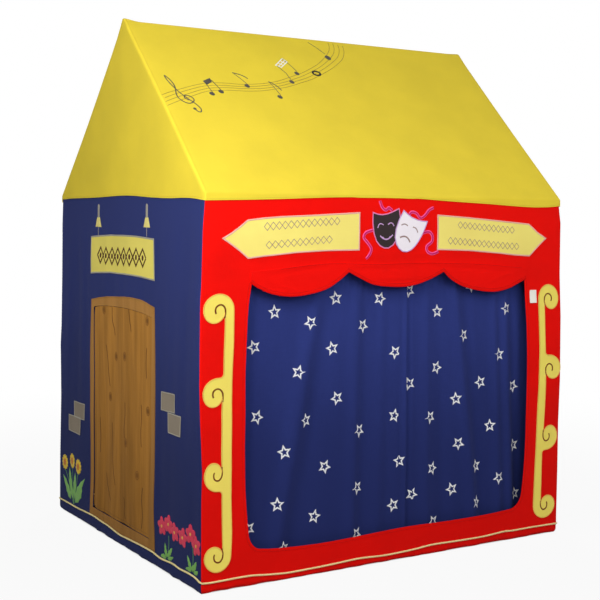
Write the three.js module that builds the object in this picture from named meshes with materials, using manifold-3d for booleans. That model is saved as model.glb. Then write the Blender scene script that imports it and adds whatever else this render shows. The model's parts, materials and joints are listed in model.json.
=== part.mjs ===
// A child's puppet theatre playhouse: a cloth house on a frame of wooden poles, with a curtained
// stage in its front wall and a cloth stage door in its left gable wall.
// Millimetres, z up. The stage faces -y, the stage door faces -x, and the origin lies on the
// floor under the middle of the house.
import * as THREE from "three";
import { mergeVertices } from "three/addons/utils/BufferGeometryUtils.js";
import Module from "manifold-3d";

const wasm = await Module();
wasm.setup();

// The house
const houseWidth = 1160; // over the two gable walls
const houseDepth = 970; // over the front and back walls
const eaveHeight = 950; // lower edge of the roof's hem
const ridgeHeight = 1450;
const roofHem = 18; // upright band between the hem's edge and the fold at the eave

// Cloth
const clothThickness = 1.5;
const patchThickness = 0.8; // of what is sewn on the walls
const seamGap = 0.3; // between two cloths that are sewn together
const roofGap = 1; // the roof hangs this far outside the walls
const wallTuck = 12; // the walls reach this far up behind the roof's hem

// Frame of poles that plug into moulded joints
const poleDiameter = 16;
const socketClearance = 0.4;
const socketWall = 1.8;
const socketDepth = 36; // length of a pole's end inside its joint
const seatGap = 0.3; // between a pole's end and the bottom of its socket
const frameClearance = 0.4; // between the joints and the cloth around them
const roundSides = 12; // facets on every pole and socket

// Hem sleeves that the base rails lie in, and the piping above them
const footFlat = 6; // width of the sleeve that lies flat on the floor
const hemSeam = 1; // height of the sleeve's stitched edge over the rail
const pipingRadius = 2;
const pipingSides = 8;

// Stage opening in the front wall
const columnWidth = 120; // wall beside the opening
const sillHeight = 80;
const openingCornerRadius = 45;
const headerDepth = 160; // from the roof's hem down to the valance's seam
const valanceLap = 12; // the valance covers this much wall above the opening
const valanceSideLap = 4;
const scallops = 3;
const cuspDrop = 22; // from the valance's seam down to the points between its scallops
const valanceEndDrop = 50;
const sideScallopDrop = 82;
const middleScallopDrop = 60;

// Curtains and the rod that they slide on
const rodDiameter = 8;
const rodGap = 6; // between the posts and the rod behind them
const rodRise = 10; // rod over the valance's seam
const clipHeight = 20;
const clipJaw = 4; // the clip's jaws reach this far past the middle of the post
const clipWall = 4; // behind the rod
const clipClearance = 0.4;
const rodOverhang = 6; // rod past the middle of each post
const casingClearance = 0.6;
const curtainMeet = 48; // the curtains meet this far right of the middle
const curtainSideLap = 30; // curtain behind the wall at each side
const curtainTuck = 35; // curtain below the sill's edge
const foldDepth = 8; // the folds swing this far to each side
const foldColumns = 48; // strips of cloth across each curtain
const foldRows = 4;
const topFoldShare = 0.4; // of the folds' depth, left where a curtain meets its rod
// Each fold's place across its curtain at the rod and at the foot, its depth and its half width
const leftFoldShares = [
  [0.16, 0.12, 0.5, 0.05],
  [0.57, 0.43, 1, 0.08],
  [0.75, 0.7, 0.4, 0.06],
  [0.94, 0.92, 0.6, 0.05],
];
const rightFoldShares = [
  [0.2, 0.2, 0.7, 0.05],
  [0.38, 0.5, 1, 0.06],
  [0.58, 0.63, 0.8, 0.05],
  [0.72, 0.77, 0.9, 0.05],
  [0.88, 0.92, 1, 0.06],
];
const leadWidth = 24; // the doubled hem at each curtain's leading edge
const leadGap = 3; // between the two leading edges

// Stage door in the left wall
const doorFrontMargin = 284; // wall between the front corner and the door's surround
const doorBackMargin = 244;
const doorSill = 44;
const doorHeadGap = 59; // between the surround and the sign over it
const archRise = 14;
const hingeJamb = 18; // width of the surround beside the flap's sewn edge
const freeJamb = 27;
const doorHead = 25; // depth of the surround over the flap
const threshold = 19;
const flapTopGap = 0.9;
const flapHingeGap = 0.6; // along the sewn edge that the flap turns on
const flapFreeGap = 8; // along the free edge and under the flap
const flapFolds = 4;
const flapFoldDepth = 2.5;
const flapProud = 0.4; // the flap stands this far outside the wall's face
const flapColumns = 32; // strips of cloth across the flap
const flapRows = 6;

// Signs, masks, scrolls and patches that are sewn on
const stageSignDrop = 103; // from the roof's hem down to the stage door sign
const stageSignHeight = 106;
const signEdgeInset = 50; // from the corner of the house to an arrow's tip
const signInnerGap = 127; // from the middle of the header to an arrow's blunt end
const signTopMargin = 26;
const signBottomMargin = 16;
const signTilt = 22; // an arrow rises this much towards the middle
const arrowHead = 65;
const maskWidth = 82;
const maskHeight = 98;
const darkMaskOffset = -42;
const lightMaskOffset = 36;
const maskLift = 8; // middle of the masks over the middle of the arrows
const darkMaskTilt = 0.14; // radians, anticlockwise
const lightMaskTilt = -0.33;
const maskGap = 0.5; // the dark mask ends this far from the light one
const scrollInset = 2.5;
const scrollWidth = 82;
const scrollFoot = 46;
const scrollTopGap = 69; // below the valance's seam
const scrollBar = 30;
const curlRise = 38;
const curlLap = 1.5; // the curls run this far into the bar
const curlShares = [0.643, 0.35]; // of the scroll's height, where its two middle curls sit
const tabMargin = 5.75; // around the blank tab beside the opening
const tabHeight = 36;
const tabDrop = 83;
const stoneWidth = 86;
const stoneHeight = 49;
const stoneStep = 42; // the lower stone is set off sideways by this much
const stoneLap = 1.5;
const stoneFrontGap = 48; // from the door's surround
const stoneBackGap = 36;
const stoneFrontTop = 458;
const stoneBackTop = 352;

// Outline of a mask, in shares of its width and height from its middle
const maskDipShare = 0.42;
const maskCheekShares = [0.56, 0.02];
const maskJawShares = [0.3, -0.5];

const overrun = 5; // every cutting tool passes its work by this much
const weldTolerance = 1e-3;
const curveSegments = 10;

// Sizes that follow from those above
const poleRadius = poleDiameter / 2;
const boreRadius = poleRadius + socketClearance;
const socketRadius = boreRadius + socketWall;
const frameInset = clothThickness + frameClearance + socketRadius; // cloth's face to a pole's axis
const postX = houseWidth / 2 - frameInset;
const postY = houseDepth / 2 - frameInset;
const baseAxis = Math.sqrt(frameInset ** 2 - (footFlat / 2) ** 2);
const hemTop = baseAxis + frameInset + hemSeam;
const pipingHeight = hemTop + seamGap + pipingRadius;
const wallBottom = pipingHeight + pipingRadius + seamGap;
const wallTop = eaveHeight + wallTuck;
const roofProud = roofGap + clothThickness;
const foldHeight = eaveHeight + roofHem;
const roofAngle = Math.atan2(ridgeHeight - foldHeight, houseDepth / 2 + roofProud);
const roofTop = (n) => foldHeight + (n + roofProud) * Math.tan(roofAngle); // n inward from the wall
const roofUnder = (n) => roofTop(n) - clothThickness / Math.cos(roofAngle);
const eaveAxis = roofTop(frameInset) - frameInset / Math.cos(roofAngle);
const ridgeAxis = ridgeHeight - frameInset / Math.cos(roofAngle);
const seatOffset = (angle) => (2 * boreRadius + socketWall) / Math.sin(angle);
const baseSeat = seatOffset(Math.PI / 2);
const eaveSeat = Math.max(seatOffset(roofAngle), baseSeat);
const ridgeSeat = Math.max(seatOffset(2 * roofAngle), baseSeat);
const valanceSeam = eaveHeight - headerDepth;
const openingHalf = houseWidth / 2 - columnWidth;
const openingTop = valanceSeam - valanceLap;
const rodRadius = rodDiameter / 2;
const rodInset = frameInset + poleRadius + rodGap + rodRadius;
const rodHeight = valanceSeam + rodRise;
const casingBore = rodRadius + casingClearance;
const casingRadius = casingBore + clothThickness;
const curtainBottom = sillHeight - curtainTuck;
const curtainTop = rodHeight - casingRadius + clothThickness / 2;

// Materials
const cloth = (color) => new THREE.MeshStandardMaterial({ color, roughness: 0.9, metalness: 0 });
const yellowCloth = cloth(0xe6cf3a);
const redCloth = cloth(0xe01410);
const navyCloth = cloth(0x262b5e);
const starCloth = cloth(0x27317a);
const brownCloth = cloth(0x8a5f2b);
const paleYellowCloth = cloth(0xf0dc6a);
const greyCloth = cloth(0x83786c);
const blackCloth = cloth(0x262226);
const whiteCloth = cloth(0xf2eef4);
const poleWood = new THREE.MeshStandardMaterial({ color: 0xc9a36b, roughness: 0.6, metalness: 0 });
const jointPlastic = new THREE.MeshStandardMaterial({
  color: 0xe8e6e0,
  roughness: 0.45,
  metalness: 0,
});

const house = new THREE.Group();

// Each wall has a group whose origin is at the foot of its outer face: x runs along it as seen from
// outside, y runs inwards and z is up. The front and back walls reach the corners of the house, and
// the gable walls end against them.
const longWall = { half: houseWidth / 2, cornerGap: 0 };
const gableWall = { half: houseDepth / 2, cornerGap: clothThickness + seamGap };
const sides = {
  front: { ...longWall, x: 0, y: -houseDepth / 2, turn: 0 },
  back: { ...longWall, x: 0, y: houseDepth / 2, turn: Math.PI },
  left: { ...gableWall, x: -houseWidth / 2, y: 0, turn: -Math.PI / 2 },
  right: { ...gableWall, x: houseWidth / 2, y: 0, turn: Math.PI / 2 },
};
for (const side of Object.values(sides)) {
  side.group = new THREE.Group();
  side.group.position.set(side.x, side.y, 0);
  side.group.rotation.z = side.turn;
  house.add(side.group);
}

function addMesh(parent, name, geometry, material) {
  const mesh = new THREE.Mesh(geometry, material);
  mesh.name = name;
  parent.add(mesh);
  return mesh;
}

// Joining and cutting of closed geometries
function solidOf(geometry) {
  const bare = geometry.index ? geometry.toNonIndexed() : geometry.clone();
  bare.deleteAttribute("normal");
  bare.deleteAttribute("uv");
  const merged = mergeVertices(bare, weldTolerance);
  return new wasm.Manifold(
    new wasm.Mesh({
      numProp: 3,
      vertProperties: merged.attributes.position.array,
      triVerts: new Uint32Array(merged.index.array),
    }),
  );
}

function geometryOf(solid) {
  const mesh = solid.getMesh();
  return new THREE.BufferGeometry()
    .setAttribute("position", new THREE.BufferAttribute(mesh.vertProperties, 3))
    .setIndex(new THREE.BufferAttribute(mesh.triVerts, 1));
}

const joined = (geometries) =>
  geometryOf(geometries.map(solidOf).reduce((whole, piece) => whole.add(piece)));

const cutBy = (geometry, tools) =>
  geometryOf(tools.map(solidOf).reduce((work, tool) => work.subtract(tool), solidOf(geometry)));

function extruded(shape, depth) {
  return new THREE.ExtrudeGeometry(shape, { depth, bevelEnabled: false, curveSegments });
}

// A cylinder from one distance to another along a direction
function roundBar(radius, direction, from, to) {
  const turn = new THREE.Quaternion().setFromUnitVectors(new THREE.Vector3(0, 1, 0), direction);
  return new THREE.CylinderGeometry(radius, radius, to - from, roundSides)
    .translate(0, (from + to) / 2, 0)
    .applyQuaternion(turn);
}

// A flat cloth on a wall: its shape is drawn as seen from outside, and `inset` is where its outer
// face lies, inwards from the wall's own outer face.
function addPanel(side, name, geometry, thickness, inset, material) {
  const mesh = addMesh(side.group, name, geometry, material);
  mesh.rotation.x = Math.PI / 2;
  mesh.position.y = inset + thickness;
  return mesh;
}

const patchOf = (shape) => extruded(shape, patchThickness);

// A patch that is sewn on the outside of a wall
function addPatch(side, name, geometry, material) {
  addPanel(side, name, geometry, patchThickness, -seamGap - patchThickness, material);
}

function rectangle(left, bottom, right, top) {
  return new THREE.Shape([
    new THREE.Vector2(left, bottom),
    new THREE.Vector2(right, bottom),
    new THREE.Vector2(right, top),
    new THREE.Vector2(left, top),
  ]);
}

// A sheet of cloth as a closed solid: place(u, v, face) gives a point on its outer face (0) or its
// inner one (1), with u along x and v up z.
function sheetGeometry(columns, rows, place) {
  const positions = [];
  const index = [];
  for (const face of [0, 1])
    for (let j = 0; j <= rows; j++)
      for (let i = 0; i <= columns; i++) positions.push(...place(i / columns, j / rows, face));
  const at = (face, i, j) => (face * (rows + 1) + j) * (columns + 1) + i;
  const quad = (a, b, c, d) => index.push(a, b, c, a, c, d);
  for (let i = 0; i < columns; i++) {
    for (let j = 0; j < rows; j++) {
      quad(at(0, i, j), at(0, i + 1, j), at(0, i + 1, j + 1), at(0, i, j + 1));
      quad(at(1, i, j), at(1, i, j + 1), at(1, i + 1, j + 1), at(1, i + 1, j));
    }
    quad(at(0, i, 0), at(1, i, 0), at(1, i + 1, 0), at(0, i + 1, 0));
    quad(at(0, i, rows), at(0, i + 1, rows), at(1, i + 1, rows), at(1, i, rows));
  }
  for (let j = 0; j < rows; j++) {
    quad(at(0, 0, j), at(0, 0, j + 1), at(1, 0, j + 1), at(1, 0, j));
    quad(at(0, columns, j), at(1, columns, j), at(1, columns, j + 1), at(0, columns, j + 1));
  }
  return new THREE.BufferGeometry()
    .setAttribute("position", new THREE.Float32BufferAttribute(positions, 3))
    .setIndex(index);
}

// Frame

// A moulded joint: a round hub with one socket along each direction
function addJoint(name, centre, directions, seat) {
  const hub = new THREE.SphereGeometry(socketRadius, roundSides, roundSides / 2);
  const reach = seat + socketDepth;
  const sleeves = directions.map((d) => roundBar(socketRadius, d, 0, reach));
  const bores = directions.map((d) => roundBar(boreRadius, d, seat, reach + overrun));
  const joint = addMesh(house, name, cutBy(joined([hub, ...sleeves]), bores), jointPlastic);
  joint.position.copy(centre);
}

// A wooden pole between two joints' centres, each end short of its seat
function addPole(name, start, end, startSeat, endSeat) {
  const direction = end.clone().sub(start);
  const span = direction.length();
  direction.normalize();
  const geometry = roundBar(poleRadius, direction, startSeat + seatGap, span - endSeat - seatGap);
  addMesh(house, name, geometry, poleWood).position.copy(start);
}

const ends = { front: -1, back: 1 };
const flanks = { left: -1, right: 1 };
const alongX = (sign) => new THREE.Vector3(sign, 0, 0);
const alongY = (sign) => new THREE.Vector3(0, sign, 0);
const alongZ = (sign) => new THREE.Vector3(0, 0, sign);
const corner = (flank, end, height) => new THREE.Vector3(flank * postX, end * postY, height);
const ridgeEnd = (flank) => new THREE.Vector3(flank * postX, 0, ridgeAxis);

// The four rails between the corners at one level
function addRails(level, height, seat) {
  for (const [name, end] of Object.entries(ends))
    addPole(`${level}_rail_${name}`, corner(-1, end, height), corner(1, end, height), seat, seat);
  for (const [name, flank] of Object.entries(flanks))
    addPole(`${level}_rail_${name}`, corner(flank, -1, height), corner(flank, 1, height), seat, seat);
}

function addFrame() {
  for (const [endName, end] of Object.entries(ends))
    for (const [flankName, flank] of Object.entries(flanks)) {
      const place = `${endName}_${flankName}`;
      const base = corner(flank, end, baseAxis);
      const eave = corner(flank, end, eaveAxis);
      const inwards = [alongX(-flank), alongY(-end)];
      const slope = new THREE.Vector3(0, -end * Math.cos(roofAngle), Math.sin(roofAngle));
      addJoint(`base_corner_${place}`, base, [...inwards, alongZ(1)], baseSeat);
      addJoint(`eave_corner_${place}`, eave, [...inwards, alongZ(-1), slope], eaveSeat);
      addPole(`post_${place}`, base, eave, baseSeat, eaveSeat);
      addPole(`rafter_${place}`, eave, ridgeEnd(flank), eaveSeat, ridgeSeat);
    }
  addRails("base", baseAxis, baseSeat);
  addRails("eave", eaveAxis, eaveSeat);
  for (const [name, flank] of Object.entries(flanks)) {
    const slopes = [-1, 1].map(
      (end) => new THREE.Vector3(0, end * Math.cos(roofAngle), -Math.sin(roofAngle)),
    );
    addJoint(`ridge_joint_${name}`, ridgeEnd(flank), [alongX(-flank), ...slopes], ridgeSeat);
  }
  addPole("ridge_pole", ridgeEnd(-1), ridgeEnd(1), ridgeSeat, ridgeSeat);
}

// Hem sleeves and piping

// Section of a hem sleeve in (inwards, up): straight down the wall's face, round under the rail
// with a flat foot, and back up to the stitched edge
function sleeveSection() {
  const footAngle = Math.asin(footFlat / 2 / frameInset);
  const down = -Math.PI / 2;
  const section = new THREE.Shape();
  section.moveTo(0, hemTop);
  section.lineTo(0, baseAxis);
  section.absarc(frameInset, baseAxis, frameInset, Math.PI, Math.PI - down - footAngle, false);
  section.absarc(frameInset, baseAxis, frameInset, down + footAngle, -down, false);
  section.lineTo(2 * clothThickness, hemTop);
  const bore = new THREE.Path();
  bore.absarc(frameInset, baseAxis, frameInset - clothThickness, 0, 2 * Math.PI, true);
  section.holes.push(bore);
  return section;
}

// Extrudes a section in (inwards, up) along a wall, with both ends mitred to the next walls
function mitredGeometry(section, half) {
  const geometry = extruded(section, 1);
  const position = geometry.attributes.position;
  for (let i = 0; i < position.count; i++) {
    const inwards = position.getX(i);
    const up = position.getY(i);
    const along = (2 * position.getZ(i) - 1) * (half - inwards - seamGap);
    position.setXYZ(i, along, inwards, up);
  }
  return geometry;
}

function addHems() {
  for (const [name, side] of Object.entries(sides)) {
    const top = hemTop + overrun;
    const socketCuts = [-1, 1].map((end) =>
      roundBar(socketRadius + frameClearance, alongZ(1), baseAxis, top).translate(
        end * (side.half - frameInset),
        frameInset,
        0,
      ),
    );
    const sleeve = cutBy(mitredGeometry(sleeveSection(), side.half), socketCuts);
    addMesh(side.group, `hem_sleeve_${name}`, sleeve, name === "front" ? redCloth : navyCloth);
  }
  addMesh(house, "base_piping", pipingGeometry(), paleYellowCloth);
}

// The piping runs round the whole house as one closed cord
function pipingGeometry() {
  const corners = [
    [-1, -1],
    [1, -1],
    [1, 1],
    [-1, 1],
  ];
  const inset = clothThickness - pipingRadius;
  const positions = [];
  const index = [];
  corners.forEach(([sx, sy], c) => {
    for (let k = 0; k < pipingSides; k++) {
      const angle = (2 * Math.PI * k) / pipingSides;
      const n = inset - pipingRadius * Math.cos(angle);
      const up = pipingHeight + pipingRadius * Math.sin(angle);
      positions.push(sx * (houseWidth / 2 - n), sy * (houseDepth / 2 - n), up);
      const here = c * pipingSides;
      const next = ((c + 1) % corners.length) * pipingSides;
      const after = (k + 1) % pipingSides;
      index.push(here + k, next + k, next + after, here + k, next + after, here + after);
    }
  });
  return new THREE.BufferGeometry()
    .setAttribute("position", new THREE.Float32BufferAttribute(positions, 3))
    .setIndex(index);
}

// Walls and roof

// The stage opening: rounded at its foot, with a straight top that the valance covers
function openingPath() {
  const path = new THREE.Path();
  const radius = openingCornerRadius;
  path.moveTo(-openingHalf, openingTop);
  path.lineTo(-openingHalf, sillHeight + radius);
  path.absarc(-openingHalf + radius, sillHeight + radius, radius, Math.PI, 1.5 * Math.PI, false);
  path.absarc(openingHalf - radius, sillHeight + radius, radius, 1.5 * Math.PI, 2 * Math.PI, false);
  path.lineTo(openingHalf, openingTop);
  return path;
}

// An upright outline with a shallow arched head, rising to `crown`
function archedPath(path, left, right, bottom, crown) {
  path.moveTo(left, bottom);
  path.lineTo(right, bottom);
  path.lineTo(right, crown - archRise);
  path.quadraticCurveTo((left + right) / 2, crown + archRise, left, crown - archRise);
  path.closePath();
  return path;
}

const door = {
  left: -houseDepth / 2 + doorBackMargin,
  right: houseDepth / 2 - doorFrontMargin,
  crown: eaveHeight - stageSignDrop - stageSignHeight - doorHeadGap,
};
door.flapLeft = door.left + freeJamb;
door.flapRight = door.right - hingeJamb;
door.flapBottom = doorSill + threshold;
door.flapCrown = door.crown - doorHead;

const doorway = (path) =>
  archedPath(path, door.flapLeft, door.flapRight, door.flapBottom, door.flapCrown);

function addWalls() {
  const holes = { front: [openingPath()], left: [doorway(new THREE.Path())] };
  for (const [name, side] of Object.entries(sides)) {
    const half = side.half - side.cornerGap;
    const outline = rectangle(-half, wallBottom, half, wallTop);
    outline.holes.push(...(holes[name] ?? []));
    const material = name === "front" ? redCloth : navyCloth;
    addPanel(side, `wall_${name}`, extruded(outline, clothThickness), clothThickness, 0, material);
  }
}

function addRoof() {
  const bandInside = -roofProud + clothThickness;
  const ridge = houseDepth / 2 - seamGap / 2;
  const length = houseWidth + 2 * roofProud;
  for (const name of ["front", "back"]) {
    const section = new THREE.Shape([
      new THREE.Vector2(-roofProud, eaveHeight),
      new THREE.Vector2(bandInside, eaveHeight),
      new THREE.Vector2(bandInside, roofUnder(bandInside)),
      new THREE.Vector2(ridge, roofUnder(ridge)),
      new THREE.Vector2(ridge, roofTop(ridge)),
      new THREE.Vector2(-roofProud, foldHeight),
    ]);
    const slope = addMesh(sides[name].group, `roof_${name}`, extruded(section, length), yellowCloth);
    slope.rotation.set(Math.PI / 2, Math.PI / 2, 0);
    slope.position.x = -length / 2;
  }
  const reach = roofGap - seamGap;
  const gableTop = (n) => roofUnder(n) - seamGap / Math.cos(roofAngle);
  for (const name of ["left", "right"]) {
    const half = houseDepth / 2 + reach;
    const outline = new THREE.Shape([
      new THREE.Vector2(-half, eaveHeight),
      new THREE.Vector2(half, eaveHeight),
      new THREE.Vector2(half, gableTop(-reach)),
      new THREE.Vector2(0, gableTop(houseDepth / 2)),
      new THREE.Vector2(-half, gableTop(-reach)),
    ]);
    const geometry = extruded(outline, clothThickness);
    addPanel(sides[name], `gable_${name}`, geometry, clothThickness, -roofProud, yellowCloth);
  }
}

// Stage

// The valance: a straight seam over a row of scallops, the outer ones hanging lower
function valanceShape() {
  const half = openingHalf + valanceSideLap;
  const step = (2 * half) / scallops;
  const shape = new THREE.Shape();
  shape.moveTo(-half, valanceSeam);
  shape.lineTo(half, valanceSeam);
  let height = valanceSeam - valanceEndDrop;
  shape.lineTo(half, height);
  for (let k = 1; k <= scallops; k++) {
    const next = valanceSeam - (k < scallops ? cuspDrop : valanceEndDrop);
    const middle = k > 1 && k < scallops;
    const lowest = valanceSeam - (middle ? middleScallopDrop : sideScallopDrop);
    const control = 2 * lowest - (height + next) / 2;
    shape.quadraticCurveTo(half - (k - 0.5) * step, control, half - k * step, next);
    height = next;
  }
  shape.closePath();
  return shape;
}

// A round casing on the rod, from one place along it to another
function casingGeometry(from, to) {
  const ring = roundBar(casingRadius, alongX(1), from, to);
  const bore = roundBar(casingBore, alongX(1), from - overrun, to + overrun);
  return cutBy(ring, [bore]).translate(0, rodInset, rodHeight);
}

// How far the folds stand out at a place on a curtain, from 0 in the hollows to 1 on a crest
function foldShareAt(u, v, foldShares) {
  const crests = foldShares.map(([top, foot, depth, halfWidth]) => {
    const place = foot + (top - foot) * v;
    return depth * Math.exp(-(((u - place) / halfWidth) ** 2));
  });
  return Math.min(1, Math.max(...crests));
}

// A curtain between two places along the rod: full folds at its foot, shallow ones at the rod
function curtainGeometry(from, to, foldShares) {
  const height = curtainTop - curtainBottom;
  const sheet = sheetGeometry(foldColumns, foldRows, (u, v, face) => {
    const swing = foldDepth * (1 - (1 - topFoldShare) * v ** 2);
    const fold = swing * (1 - 2 * foldShareAt(u, v, foldShares));
    const thickness = (face - 0.5) * clothThickness;
    return [from + u * (to - from), rodInset + fold + thickness, curtainBottom + v * height];
  });
  return joined([sheet, casingGeometry(from, to)]);
}

// A curtain's doubled leading edge and its stretch of casing
function leadGeometry(from, to) {
  const doubled = rectangle(from, -clothThickness, to, clothThickness);
  const strip = extruded(doubled, curtainTop - curtainBottom);
  return joined([strip.translate(0, rodInset, curtainBottom), casingGeometry(from, to)]);
}

// A clip that snaps on a post, with a hole for the rod behind it
function clipGeometry() {
  const back = rodInset - frameInset + rodRadius + clipWall;
  const block = extruded(rectangle(-socketRadius, -clipJaw, socketRadius, back), clipHeight);
  block.translate(0, 0, -clipHeight / 2);
  const reach = clipHeight / 2 + overrun;
  const postBore = roundBar(poleRadius + clipClearance, alongZ(1), -reach, reach);
  const rodReach = socketRadius + overrun;
  const rodBore = roundBar(rodRadius + clipClearance, alongX(1), -rodReach, rodReach);
  return cutBy(block, [postBore, rodBore.translate(0, rodInset - frameInset, 0)]);
}

function addStage() {
  const { group } = sides.front;
  const valance = extruded(valanceShape(), clothThickness);
  addPanel(sides.front, "valance", valance, clothThickness, -seamGap - clothThickness, redCloth);
  const rodHalf = postX + rodOverhang;
  const rod = addMesh(group, "curtain_rod", roundBar(rodRadius, alongX(1), -rodHalf, rodHalf), poleWood);
  rod.position.set(0, rodInset, rodHeight);
  for (const [name, flank] of Object.entries(flanks)) {
    const clip = addMesh(group, `rod_clip_${name}`, clipGeometry(), jointPlastic);
    clip.position.set(flank * postX, frameInset, rodHeight);
  }
  const outer = openingHalf + curtainSideLap;
  const leftLead = curtainMeet - leadWidth;
  const rightLead = curtainMeet + leadGap;
  const rightStart = rightLead + leadWidth + seamGap;
  const leftCurtain = curtainGeometry(-outer, leftLead - seamGap, leftFoldShares);
  const rightCurtain = curtainGeometry(rightStart, outer, rightFoldShares);
  addMesh(group, "curtain_left", leftCurtain, starCloth);
  addMesh(group, "curtain_lead_left", leadGeometry(leftLead, curtainMeet), starCloth);
  addMesh(group, "curtain_lead_right", leadGeometry(rightLead, rightLead + leadWidth), starCloth);
  addMesh(group, "curtain_right", rightCurtain, starCloth);
}

// Stage door

// The door's cloth flap: it fills the doorway under its arch and ripples towards its foot
function flapGeometry() {
  const left = door.flapLeft + flapFreeGap;
  const right = door.flapRight - flapHingeGap;
  const bottom = door.flapBottom + flapFreeGap;
  const middle = (door.flapLeft + door.flapRight) / 2;
  return sheetGeometry(flapColumns, flapRows, (u, v, face) => {
    const x = left + u * (right - left);
    const archShare = ((x - middle) / (door.flapRight - middle)) ** 2;
    const top = door.flapCrown - archRise * archShare - flapTopGap;
    const fold = flapFoldDepth * (1 - v) * Math.sin(2 * Math.PI * flapFolds * u);
    const depth = face * clothThickness - flapProud;
    return [x, depth + fold, bottom + v * (top - bottom)];
  });
}

// Two stones, the lower one set off away from the door
function stoneGeometry(start, direction, top) {
  const lower = top - stoneHeight;
  const edges = [start, start + direction * stoneWidth];
  const lowerEdges = edges.map((x) => x + direction * stoneStep);
  const stone = (xs, low, high) => patchOf(rectangle(Math.min(...xs), low, Math.max(...xs), high));
  return joined([
    stone(edges, lower, top),
    stone(lowerEdges, lower - stoneHeight, lower + stoneLap),
  ]);
}

function addStageDoor() {
  const side = sides.left;
  const surround = archedPath(new THREE.Shape(), door.left, door.right, doorSill, door.crown);
  surround.holes.push(doorway(new THREE.Path()));
  addPatch(side, "door_surround", patchOf(surround), brownCloth);
  addMesh(side.group, "door_flap", flapGeometry(), brownCloth);
  const signTop = eaveHeight - stageSignDrop;
  const sign = rectangle(door.left, signTop - stageSignHeight, door.right, signTop);
  addPatch(side, "stage_door_sign", patchOf(sign), paleYellowCloth);
  const frontStones = stoneGeometry(door.right + stoneFrontGap, 1, stoneFrontTop);
  const backStones = stoneGeometry(door.left - stoneBackGap, -1, stoneBackTop);
  addPatch(side, "stone_patch_front", frontStones, greyCloth);
  addPatch(side, "stone_patch_back", backStones, greyCloth);
}

// What is sewn on the front wall

// An arrow-shaped sign whose tip points to the corner of the house on that flank
function arrowShape(flank) {
  const inner = flank * signInnerGap;
  const tip = flank * (houseWidth / 2 - signEdgeInset);
  const shoulder = tip - flank * arrowHead;
  const top = eaveHeight - signTopMargin;
  const bottom = valanceSeam + signBottomMargin;
  return new THREE.Shape([
    new THREE.Vector2(inner, top),
    new THREE.Vector2(shoulder, top - signTilt),
    new THREE.Vector2(tip, (top - signTilt + bottom) / 2),
    new THREE.Vector2(shoulder, bottom),
    new THREE.Vector2(inner, bottom + signTilt),
  ]);
}

// A shield-shaped mask about its own middle: a dipped brow, full cheeks and a round chin
function maskShape(grow) {
  const half = maskWidth / 2 + grow;
  const tall = maskHeight / 2 + grow;
  const [cheekX, cheekY] = maskCheekShares;
  const [jawX, jawY] = maskJawShares;
  const shape = new THREE.Shape();
  shape.moveTo(-half, tall);
  shape.quadraticCurveTo(0, maskDipShare * tall, half, tall);
  shape.bezierCurveTo(
    cheekX * maskWidth,
    cheekY * maskHeight,
    jawX * maskWidth,
    jawY * maskHeight,
    0,
    -tall,
  );
  shape.bezierCurveTo(
    -jawX * maskWidth,
    jawY * maskHeight,
    -cheekX * maskWidth,
    cheekY * maskHeight,
    -half,
    tall,
  );
  return shape;
}

// A tall scroll: a bar with a hooked curl at each end and two curls that branch off between them
function scrollGeometry(flank) {
  const foot = scrollFoot;
  const top = valanceSeam - scrollTopGap;
  const height = top - foot;
  const barOuter = scrollInset + scrollWidth - scrollBar;
  const barInner = scrollInset + scrollWidth;
  const lobe = (barOuter - scrollInset) / 2;
  const curlCentres = [
    [top - curlRise, 1, true],
    [foot + curlShares[0] * height, 1, false],
    [foot + curlShares[1] * height, -1, false],
    [foot + curlRise, -1, true],
  ];
  const pieces = [patchOf(rectangle(barOuter, foot + curlRise, barInner, top - curlRise))];
  for (const [centre, up, hooked] of curlCentres) {
    const outer = new THREE.Shape();
    const rounded = hooked ? barInner : barOuter + curlLap;
    const middle = hooked ? (scrollInset + barInner) / 2 : rounded;
    const reach = middle - scrollInset;
    outer.moveTo(rounded, centre);
    outer.absellipse(middle, centre, reach, curlRise, hooked ? 0 : up * (Math.PI / 2), up * Math.PI, up < 0);
    outer.closePath();
    const round = new THREE.Shape();
    round.absarc(scrollInset + lobe + curlLap / 2, centre, lobe + curlLap / 2, 0, 2 * Math.PI, false);
    pieces.push(patchOf(outer), patchOf(round));
  }
  const scroll = joined(pieces).translate(-houseWidth / 2, 0, 0);
  return flank < 0 ? scroll : mirrored(scroll);
}

// Mirrors a geometry in x and turns its faces back outwards
function mirrored(geometry) {
  const flipped = geometry.clone().scale(-1, 1, 1);
  const index = flipped.index.array;
  for (let i = 0; i < index.length; i += 3) [index[i + 1], index[i + 2]] = [index[i + 2], index[i + 1]];
  return flipped;
}

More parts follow.
